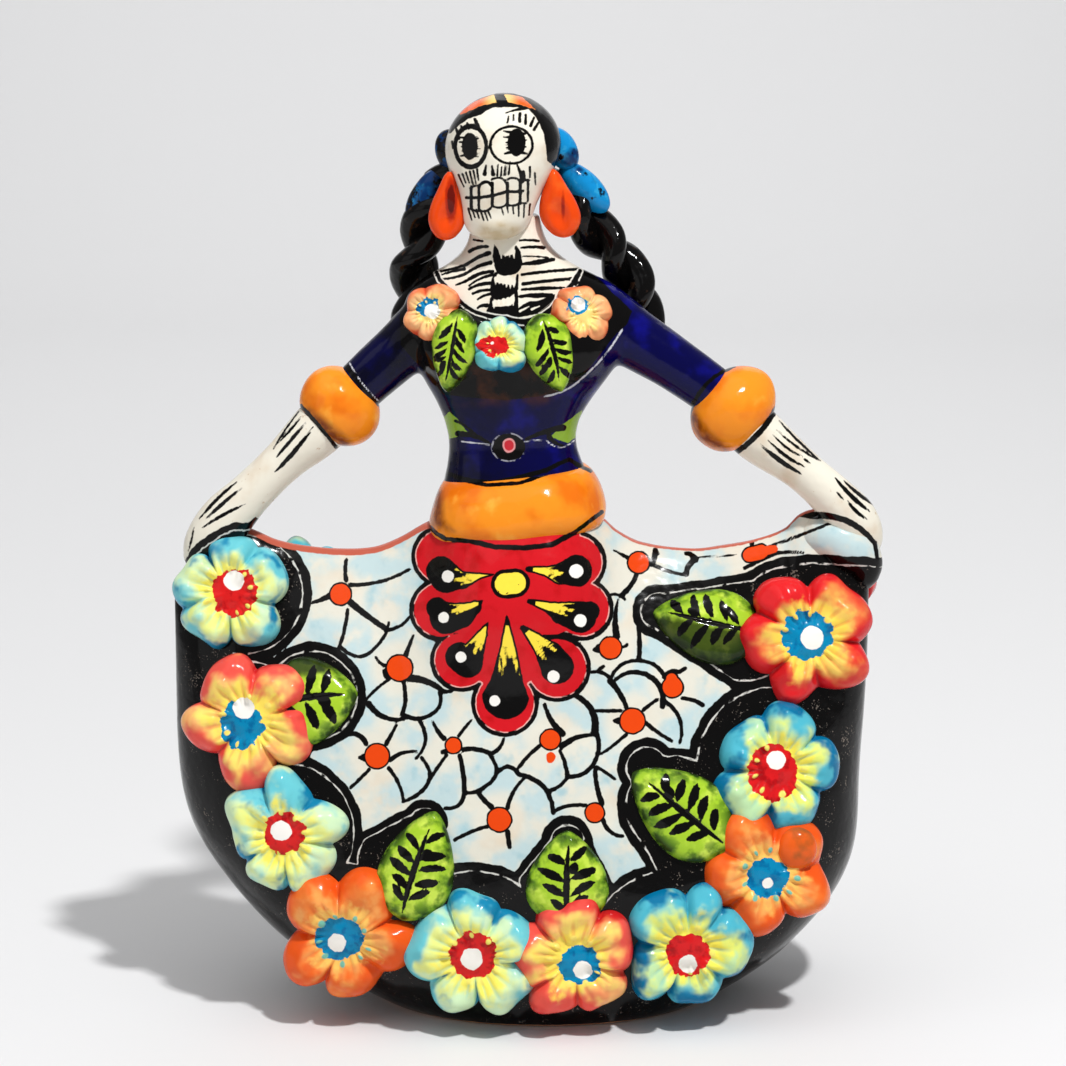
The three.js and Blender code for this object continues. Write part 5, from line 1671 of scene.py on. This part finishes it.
def make_flower_tree():
    tree, given, result = piece_tree("thumbed_flower", FLOWER_INPUTS)
    grid = add_node(tree, "GeometryNodeMeshGrid", Vertices_X=FLOWER_AROUND + 1, Vertices_Y=FLOWER_ALONG + 1)
    flat = tree.nodes.new("GeometryNodeInputPosition").outputs[0]
    place = add_node(tree, "ShaderNodeSeparateXYZ", Vector=flat)
    angle = (Value(tree, place.outputs["X"]) + 0.5) * (2 * math.pi)
    travel = Value(tree, place.outputs["Y"]) + 0.5
    values = (Value(tree, given.outputs[label]) for label in FLOWER_INPUTS)
    radius, height, root, seed, roundness, valley_depth, groove_depth = values

    def waver(reach, kind, scale):
        """Seeded noise about 0 over the pat, or round its edge where reach is 1."""
        x, y = angle.cos() * reach, angle.sin() * reach
        spot = add_node(tree, "ShaderNodeCombineXYZ", X=x, Y=y, Z=seed + kind)
        noise = add_node(tree, "ShaderNodeTexNoise", Scale=scale, Detail=0, Vector=spot.outputs[0])
        return Value(tree, noise.outputs["Fac"]) - 0.5

    uneven = waver(1, 0, 1.1)
    sector = 2 * math.pi / PETALS
    bent = angle + waver(1, 7, 1) * 1.1
    from_tip = bent - (bent / sector).join("ROUND") * sector
    tip_side = from_tip.sin() * PETAL_MIDDLE
    notch = (tip_side * tip_side * -1 + PETAL_LOBE**2).root()
    outline = (from_tip.cos() * PETAL_MIDDLE + notch) * (roundness * -1 + 1) + roundness * 0.93
    outline = outline * (waver(1, 11, 1.6) * 0.3 + 1)
    on_top = (travel / TOP_SHARE).at_most(1)
    share = (on_top * -1 + 1) ** 1.5 * -1 + 1
    reach = outline * share

    to_valley = from_tip.size() / (sector / 2)
    edge = (share ** 4.5 * -1 + 1).at_least(0) ** 0.5
    dish = share.eased(0.26, 0.72) * 0.4 + 0.6
    crown = to_valley ** 2 * share.eased(0.35, 0.9) * -0.24 + 1
    valley = to_valley ** 7 * share.eased(0.34, 0.8)
    pad = edge * dish * crown * (valley * valley_depth * -1 + 1)
    pad = pad * (uneven * share.eased(0, 0.35) * 0.6 + 1) * (waver(reach, 3, 3.4) * 0.5 + 1)
    groove = ((angle * 20 + uneven * 9).cos() * 0.5 + 0.5) ** 2
    groove = groove * reach.eased(0.24, 0.36) * (reach.eased(0.5, 0.86) * -1 + 1)
    middle = (((reach / 0.29) ** 2 * -1 + 1).at_least(0)).root() * 0.2 + 0.48
    plate = middle * (reach.eased(0.3, 0.62) * -1 + 1)
    bead_turn = (angle * BEADS + uneven * 5).cos() * 0.5 + 0.5
    bead = bead_turn ** 3 * (((reach - BEAD_REACH) / 0.06) ** 2 * -1).join("EXPONENT")
    lift = pad.join("SMOOTH_MAX", plate, 0.12)
    lift = lift - groove * groove_depth + bead * 0.12
    lift = lift * edge.eased(0, 0.3)

    under = ((travel - TOP_SHARE) / (1 - TOP_SHARE)).at_least(0)
    down = under.eased(0, 0.55)
    closing = (under - 0.55).at_least(0) / 0.45
    spread_out = (uneven * 0.3 + 1) * (down * -0.1 + 1) * (closing * -1 + 1)
    across = reach * spread_out * radius
    x, y, z = across * angle.cos(), across * angle.sin(), lift * height - down * root
    position = add_node(tree, "ShaderNodeCombineXYZ", X=x, Y=y, Z=z)
    # The layers are worked out on the flat grid, so they are stored before it is wrapped
    layers = {"reach": share + under * 0.3, "valley": valley, "groove": groove, "bead": bead}
    flow = grid
    for label, value in layers.items():
        inputs = {"Geometry": flow.outputs[0], "Name": "petal_" + label, "Value": value}
        flow = add_node(tree, "GeometryNodeStoreNamedAttribute", **inputs)
    moved = add_node(tree, "GeometryNodeSetPosition", Geometry=flow.outputs[0], Position=position.outputs[0])
    merge = add_node(tree, "GeometryNodeMergeByDistance", Geometry=moved.outputs[0], Distance=WELD)
    outward = add_node(tree, "GeometryNodeFlipFaces", Mesh=merge.outputs[0])
    finish_tree(tree, outward.outputs[0], given, result)
    return tree

flower_tree = make_flower_tree()
print("flower tree", len(flower_tree.nodes), "nodes")

# %% [markdown]
# Each flower is grown flat, then laid where the solid has it. Its blot and white dot sit a little
# off the middle, as a hurried brush leaves them, so their places are listed for the front ones.
# The eighth flower carries an extra thumb of clay, a small egg.

# %% Press the flowers on
SKIRT_FLOWER = {"height": 9.0, "root": 7.0, "valley": 0.5, "roundness": 0.0}
BUST_FLOWER = {"height": 5.2, "root": 5.0, "valley": 0.3, "roundness": 0.45}
# Paint, then blot right, up, half-width, half-height and dot right, up, radius
FRONT_BLOTS = [
    ("mint", (-98.2, -19.7, 7.4, 7.9), (-98.3, -15.7, 3.3)),
    ("salmon", (-96, -63.1, 7.2, 7.6), (-95.1, -57.6, 3.5)),
    ("mint", (-81.9, -98.7, 6.6, 6.9), (-82.9, -98, 3.3)),
    ("orange", (-63.5, -133.2, 7.6, 6.9), (-64.5, -134.8, 3)),
    ("mint", (-19.7, -138.8, 7.6, 7.6), (-20.1, -140.1, 3.6)),
    ("salmon", (15.5, -142.1, 6.6, 6.6), (16.4, -143.7, 3)),
    ("turquoise", (51, -138.8, 7.2, 6.9), (51, -141.8, 3)),
    ("orange", (77.3, -113.5, 6.9, 6.6), (77.3, -115.1, 1.8)),
    ("turquoise", (78.9, -78.6, 8.2, 9.5), (79.9, -74.7, 3.1)),
    ("red", (90.1, -33.5, 8.2, 8.2), (91.8, -34.5, 3.8)),
]
BUST_BLOTS = [
    ("peach", (-34.5, 74.6, 3.4, 2.8), (-33.1, 72.9, 2.5)),
    ("peach", (14.8, 75.1, 3.8, 2.8), (14.8, 75.1, 2.3)),
    ("mint", (-12.9, 61.5, 5.3, 3.2), (-13.5, 62.4, 0.6)),
]
BACK_BLOTS = [(kind, (0, 0, 6.8, 6.8), (0.8, 1.2, 3.0)) for kind in ("turquoise", "red", "orange")]
BUD_PLACE = (85.6, 60.6)
BUD_LIFT = np.array([1.0, -7.5, 0])
BUD_RADII = (6.4, 4.5, 7)

def press_flower(name, at, facing, radius, turn, sizes, seed, marks, on_picture=True):
    """One flower; its blot and dot are placed on the drawing plane, or on the flat flower."""
    kind, blot, dot = marks
    flower = grown(name, flower_tree, {
        "Radius": radius * MM, "Height": sizes["height"] * MM, "Root": sizes["root"] * MM,
        "Valley depth": sizes["valley"], "Roundness": sizes["roundness"], "Seed": float(seed),
        "Paint": flower_paints[kind],
    })
    across, up = places_of(flower).T[:2]
    flower.data.transform(stand(at, facing, turn))
    if on_picture:
        across, up = drawing(places_of(flower))
    paint(flower, "blot", oval_distance(across, up, *blot))
    paint(flower, "dot", oval_distance(across, up, *dot, dot[2]))
    return flower

def press_flowers():
    flowers = []
    rows_of = {"front": (-1, FRONT_FLOWERS, FRONT_BLOTS), "back": (1, BACK_FLOWERS, BACK_BLOTS)}
    for label, (side, rows, blots) in rows_of.items():
        for number, ((x, z, radius, turn), marks) in enumerate(zip(rows, blots), 1):
            place = skirt_point(x, z, side), skirt_facing(x, z, side, 0.5)
            name, seed = f"{label}_flower_{number}", 3 * number + side
            flowers.append(press_flower(name, *place, radius, turn, SKIRT_FLOWER, seed, marks, side < 0))
    for number, ((at, radius, turn, facing), marks) in enumerate(zip(BUST_FLOWERS, BUST_BLOTS), 1):
        name = f"bust_flower_{number}"
        flowers.append(press_flower(name, at, facing, radius, turn, BUST_FLOWER, 40 + number, marks))
    return flowers

def make_bud():
    """An extra thumb of clay on the eighth flower, orange with soft brown patches of painted shade."""
    bud = rings_to_solid("flower_bud", egg_rings(skirt_point(*BUD_PLACE, -1) + BUD_LIFT, BUD_RADII, 48, 64))
    coat = Finish("bud_orange", (232, 96, 30))
    # Painted shade: soft brown patches on the orange
    coat.wash((150, 84, 36), 8, 0.46, 0.74)
    dress(bud, coat.coat())
    return bud

flowers = [*press_flowers(), make_bud()]
print("flowers", len(flowers), "with", len(flowers[0].data.polygons), "faces each")

# %% [markdown]
# A leaf is a small domed pad with a blunt foot and a pointed tip. Its vein is only lightly
# scored, because the black brush line does most of the work: one stroke down the middle and
# slanting dabs to both sides, each leaf with dabs of its own from a fixed seed.

# %% Leaves
LEAF_HEIGHT = 5.2
LEAF_ROOT = 6.0
LEAF_TAPER = 0.32
VEIN_STEP = 4.6
# Leaves with one dark half, and how far from the vein it begins
SHADED_LEAVES = {"front_leaf_5": 1.0, "front_leaf_1": 7.5}

def leaf_dabs(length, width, seed):
    """Black strokes of one leaf, along its length from the foot and across it."""
    random = np.random.default_rng(seed)
    bold = (width / 25) ** 0.9
    dabs = [(-0.42 * length, 0.2, 0.36 * length, -0.3, 0.5, 2.4 * bold, 2 * bold)]
    for side in (1, -1):
        start = -0.3 * length + random.uniform(-1, 1)
        while start < 0.26 * length:
            taper = 1 - abs(start + 0.05 * length) / (0.62 * length)
            reach = 0.36 * width * taper + random.uniform(-0.8, 0.4)
            lean = random.uniform(2.4, 4.6)
            ends = (start, side * 0.9, start + lean, side * (0.9 + reach))
            widths = random.uniform(1.9, 2.8) * bold, random.uniform(2.6, 4) * bold
            dabs.append((*ends, side * random.uniform(-0.8, 0.2), *widths))
            start += VEIN_STEP * random.uniform(0.8, 1.25) * width / 24
    blotch = random.uniform(0.02, 0.16) * length
    dabs.append((blotch, -1.2, blotch + 3, -2.6, 0, 3.6 * bold, 2.6 * bold))
    return dabs

def press_leaf(name, at, facing, length, width, turn, seed, around=120, along=30):
    angle = turns(around)
    step = np.linspace(0, 1, along + 1)[1:, None]
    share = 1 - (1 - step) ** 1.5
    ahead, side = np.cos(angle), np.sin(angle)
    u = length / 2 * ahead * share
    v = width / 2 * side * np.abs(side) ** 0.25 * (1 - LEAF_TAPER * ahead) * share
    flat = np.stack([u, v, 0 * u + seed * 31.7], -1)
    dome = np.sqrt(1 - share**3.2)
    score = 0.1 * np.exp(-((v / 0.9) ** 2)) * (1 - share**4)
    lift = LEAF_HEIGHT * (dome * (1 + 0.06 * lumps(flat, 11, seed)) - score)
    top = np.stack([u, v, lift], -1)
    edge = top[-1]
    under = [
        np.stack([edge[:, 0] * inset, edge[:, 1] * inset, 0 * edge[:, 0] - LEAF_ROOT * depth], -1)
        for inset, depth in ((0.985, 0.35), (0.95, 0.75), (0.9, 1.0), (0.45, 1.0))
    ]
    leaf = rings_to_solid(name, np.concatenate([top, np.stack(under)]))
    places = places_of(leaf)
    down = np.clip(-places[:, 2], 0, None)
    rim = np.concatenate([np.repeat(share[:, 0], around), np.ones(len(under) * around), [0, 1]])
    dabs = strokes_distance(places[:, 0], places[:, 1], leaf_dabs(length, width, seed), 0.8)
    paint(leaf, "leaf_rim", rim)
    paint(leaf, "leaf_shade", SHADED_LEAVES.get(name, FAR) - places[:, 1])
    paint(leaf, "leaf_ink", dabs + down)
    leaf.data.transform(stand(at, facing, turn))
    return leaf

def press_leaves():
    leaves = []
    for side, rows, label in ((-1, FRONT_LEAVES, "front"), (1, BACK_LEAVES, "back")):
        for number, (x, z, length, width, turn) in enumerate(rows, 1):
            tip = turn if side < 0 else 180 - turn
            name = f"{label}_leaf_{number}"
            facing = skirt_facing(x, z, side, 1)
            leaves.append(press_leaf(name, skirt_point(x, z, side), facing, length, width, tip, number))
    for number, (at, length, width, turn, facing) in enumerate(BUST_LEAVES, 1):
        name = f"bust_leaf_{number}"
        leaves.append(press_leaf(name, at, facing, length, width, turn, 20 + number, 100, 26))
    return leaves

def leaf_paint():
    coat = Finish("leaf_green", (164, 202, 48))
    coat.wash((204, 228, 84), 7, 0.46, 0.64)
    rim = coat.read("leaf_rim") + (coat.mottle(5, 0.36, 0.62) - 0.5) * 0.3
    coat.lay((78, 122, 26), rim.eased(0.66, 0.96) * 0.85)
    coat.lay((26, 44, 14), rim.eased(0.9, 1.1) * 0.9)
    coat.lay((28, 38, 16), coat.mark("leaf_shade", 0, Wobble=2.4, Wave=4, Softness=1.6) * 0.9)
    coat.brush(BLACK, "leaf_ink", 0, 0.5, 1.5)
    return coat.coat(0.12)

leaves = press_leaves()
green = leaf_paint()
for leaf in leaves:
    dress(leaf, green)
print("leaves", len(leaves), "with", len(leaves[0].data.polygons), "faces each")

# %% [markdown]
# The braids are two fat strands twisted round each other, from behind the ears to the shoulders.
# A second tree follows a path: the path's tilt grows with its length, and a pair of circles swept
# along it becomes the two strands. The path's radius draws them in at both ends.

# %% Braids
BRAID_PATHS = {
    "left_braid": [
        (-22, 9, 276), (-28.4, 10, 268), (-32.8, 10, 259.5), (-35.8, 11, 250), (-38, 13, 240),
        (-38.6, 15, 230), (-36, 16.5, 220), (-31.5, 17, 211),
    ],
    "right_braid": [
        (6, 9, 273), (13, 10, 263), (19.5, 10, 256.5), (25.5, 11, 249.8), (31, 12, 242.5), (35, 13.5, 235),
        (37.2, 15, 227), (36, 16.5, 219), (32, 17, 211),
    ],
}
STRAND_RADIUS = 4.9
STRAND_OFFSET = 3.6
BRAID_PITCH = 33.0
BRAID_INPUTS = {"Strand radius": 0.005, "Strand offset": 0.0035, "Pitch": 0.033}

def make_braid_tree():
    tree, given, result = piece_tree("two_strand_braid", BRAID_INPUTS, [("Path", "NodeSocketObject", None)])
    path = add_node(tree, "GeometryNodeObjectInfo", Object=given.outputs["Path"])
    steps = add_node(tree, "GeometryNodeResampleCurve", Curve=path.outputs["Geometry"], Count=150)
    along = tree.nodes.new("GeometryNodeSplineParameter")
    share = Value(tree, along.outputs["Factor"])
    pitch, offset = (Value(tree, given.outputs[label]) for label in ("Pitch", "Strand offset"))
    twist = Value(tree, along.outputs["Length"]) / pitch * (2 * math.pi)
    tilt = add_node(tree, "GeometryNodeSetCurveTilt", Curve=steps.outputs[0], Tilt=twist)
    size = (share * 3 + 0.62).at_most((share * -1 + 1) * 3 + 0.45).at_most(1)
    pulse = ((twist * 2).cos() * 0.06) + 1
    thick = add_node(tree, "GeometryNodeSetCurveRadius", Curve=tilt.outputs[0], Radius=size * pulse)
    strands = tree.nodes.new("GeometryNodeJoinGeometry")
    for side in (1, -1):
        radius = given.outputs["Strand radius"]
        circle = add_node(tree, "GeometryNodeCurvePrimitiveCircle", Resolution=40, Radius=radius)
        shift = add_node(tree, "ShaderNodeCombineXYZ", X=offset * side).outputs[0]
        beside = add_node(tree, "GeometryNodeTransform", Geometry=circle.outputs["Curve"], Translation=shift)
        feed(tree, strands.inputs[0], beside.outputs[0])
    rope, profile = thick.outputs[0], strands.outputs[0]
    swept = add_node(tree, "GeometryNodeCurveToMesh", Curve=rope, Profile_Curve=profile, Fill_Caps=True)
    if "Scale" in swept.inputs:
        feed(tree, swept.inputs["Scale"], tree.nodes.new("GeometryNodeInputRadius").outputs[0])
    finish_tree(tree, swept.outputs[0], given, result)
    return tree

def twist_braid(name, path, tree):
    curve = bpy.data.curves.new(name + "_path", "CURVE")
    curve.dimensions = "3D"
    curve.resolution_u = 16
    spline = curve.splines.new("NURBS")
    spline.points.add(len(path) - 1)
    for point, place in zip(spline.points, path):
        point.co = (*(Vector(place) * MM), 1)
    spline.use_endpoint_u = True
    spline.order_u = 3
    guide = new_object(name + "_path", curve)
    braid = grown(name, tree, {
        "Path": guide, "Pitch": BRAID_PITCH * MM,
        "Strand radius": STRAND_RADIUS * MM, "Strand offset": STRAND_OFFSET * MM,
    })
    bpy.data.objects.remove(guide)
    return braid

braid_tree = make_braid_tree()
braids = [twist_braid(name, path, braid_tree) for name, path in BRAID_PATHS.items()]
print("braids", [len(piece.data.polygons) for piece in braids])

# %% [markdown]
# Ribbon loops stick out beside the braids, and a fat drop hangs at each ear with a thumbed hollow.

# %% Ribbons and ear drops
RIBBONS = {
    "left_upper_ribbon": [(-24.5, 7, 280.5), (-0.35, 0, 0.94), (5.6, 7.5, 5)],
    "left_lower_ribbon": [(-33.2, 8, 265.5), (-0.5, 0, -0.87), (5.4, 10.5, 5)],
    "right_upper_ribbon": [(10.3, 7, 281.5), (0.54, 0, -0.84), (5, 7.6, 5)],
    "right_lower_ribbon": [(18, 8, 268.8), (0.7, 0, -0.71), (5.2, 10.6, 5)],
}
# Middle, half-width, height, half-depth and lean
EAR_DROPS = {
    "left_ear_drop": [(-26, -8.5, 264.6), 6, 22, 4.2, 0.06],
    "right_ear_drop": [(9.4, -6.5, 265.2), 6.6, 22, 4.6, -0.16],
}
drop_bulge = through([
    (0, 0.0), (0.02, 0.3), (0.06, 0.54), (0.18, 0.86), (0.34, 1), (0.55, 0.86), (0.78, 0.52), (0.94, 0.28),
    (1, 0.1),
])

def make_drop(name, at, width, height, depth, lean):
    share = 0.5 - 0.5 * np.cos(np.linspace(0.02, math.pi - 0.02, 80))
    bulge = drop_bulge(share)[:, None]
    z = height * (share[:, None] - 0.5)
    angle = turns(80)
    x = width * bulge * np.cos(angle)
    y = depth * bulge**0.6 * np.sin(angle)
    hollow = np.exp(-((x / (0.42 * width)) ** 2) - (((z + 0.16 * height) / (0.2 * height)) ** 2))
    y = y + np.where(y < 0, 1, 0) * hollow * depth * 0.55
    rings = np.stack([at[0] + lean * z + x, at[1] + y, at[2] + z + 0 * x], -1)
    return rings_to_solid(name, rings)

ribbons = [rings_to_solid(name, puff_rings(*row, 48, 60, 2.1, 9)) for name, row in RIBBONS.items()]
ear_drops = [make_drop(name, *row) for name, row in EAR_DROPS.items()]
print("ribbons and drops", [len(piece.data.polygons) for piece in ribbons + ear_drops])

# %% [markdown]
# Hair is solid black glaze, ribbons are blue with black dabs and the left ones darker as painted shade, and
# the drops are orange-red with a painted shadow in the hollow.

# %% Hair, ribbon and drop paints
# Where the painted shadow lies in each drop's hollow: middle right, up, half-width and half-height
DROP_SHADOWS = {"left_ear_drop": (-26.9, 109.8, 1.5, 5.4), "right_ear_drop": (9.9, 107.6, 0.2, 1.4)}

def hair_paint():
    coat = Finish("hair_black", BLACK)
    coat.wash((52, 34, 22), 3, 0.6, 0.74)
    return coat.coat(0.1, 3.0, 1.2)

def ribbon_paint(name, blue, dark_from):
    coat = Finish(name, blue)
    coat.wash((70, 184, 220), 4, 0.56, 0.76)
    coat.wash((4, 44, 92), 9, dark_from, dark_from + 0.14)
    coat.lay(BLACK, coat.mottle(6, dark_from + 0.1, dark_from + 0.14) * coat.mottle(1.6, 0.3, 0.5))
    return coat.coat(0.14, 3.0)

def ear_drop_paint():
    coat = Finish("ear_drop_orange", (232, 72, 14))
    coat.wash((244, 98, 30), 7, 0.5, 0.8)
    # Painted shadow in the hollow, darkest at its middle
    coat.lay((178, 40, 8), coat.mark("pool", 1.0, Wobble=0.7, Softness=0.8))
    coat.lay((100, 18, 8), coat.mark("pool", -0.4, Wobble=0.6, Softness=0.4))
    return coat.coat(0.13)

hair = hair_paint()
ribbon_blues = {
    # The left ribbons take a darker copy of the blue as painted shade
    "left": ribbon_paint("ribbon_shaded_blue", (8, 84, 140), 0.4),
    "right": ribbon_paint("ribbon_blue", (16, 138, 202), 0.52),
}
drop_orange = ear_drop_paint()
for piece in braids:
    dress(piece, hair)
for piece in ribbons:
    dress(piece, ribbon_blues[piece.name.split("_")[0]])
for piece in ear_drops:
    u, v = drawing(places_of(piece))
    paint(piece, "pool", oval_distance(u, v, *DROP_SHADOWS[piece.name]))
    dress(piece, drop_orange)
print("hair, ribbons and drops painted")

# %% [markdown]
# Every piece rides with the one fired body and stands for the solid, which is hidden.

# %% Hand the pieces to the frame
pieces = [skirt, cloth_roll, body, sash, *cuffs, *forearms, skull, *braids, *ribbons, *ear_drops]
pieces += [*flowers, *leaves]
for piece in pieces:
    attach(piece, "root")
    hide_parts(FIGURE)
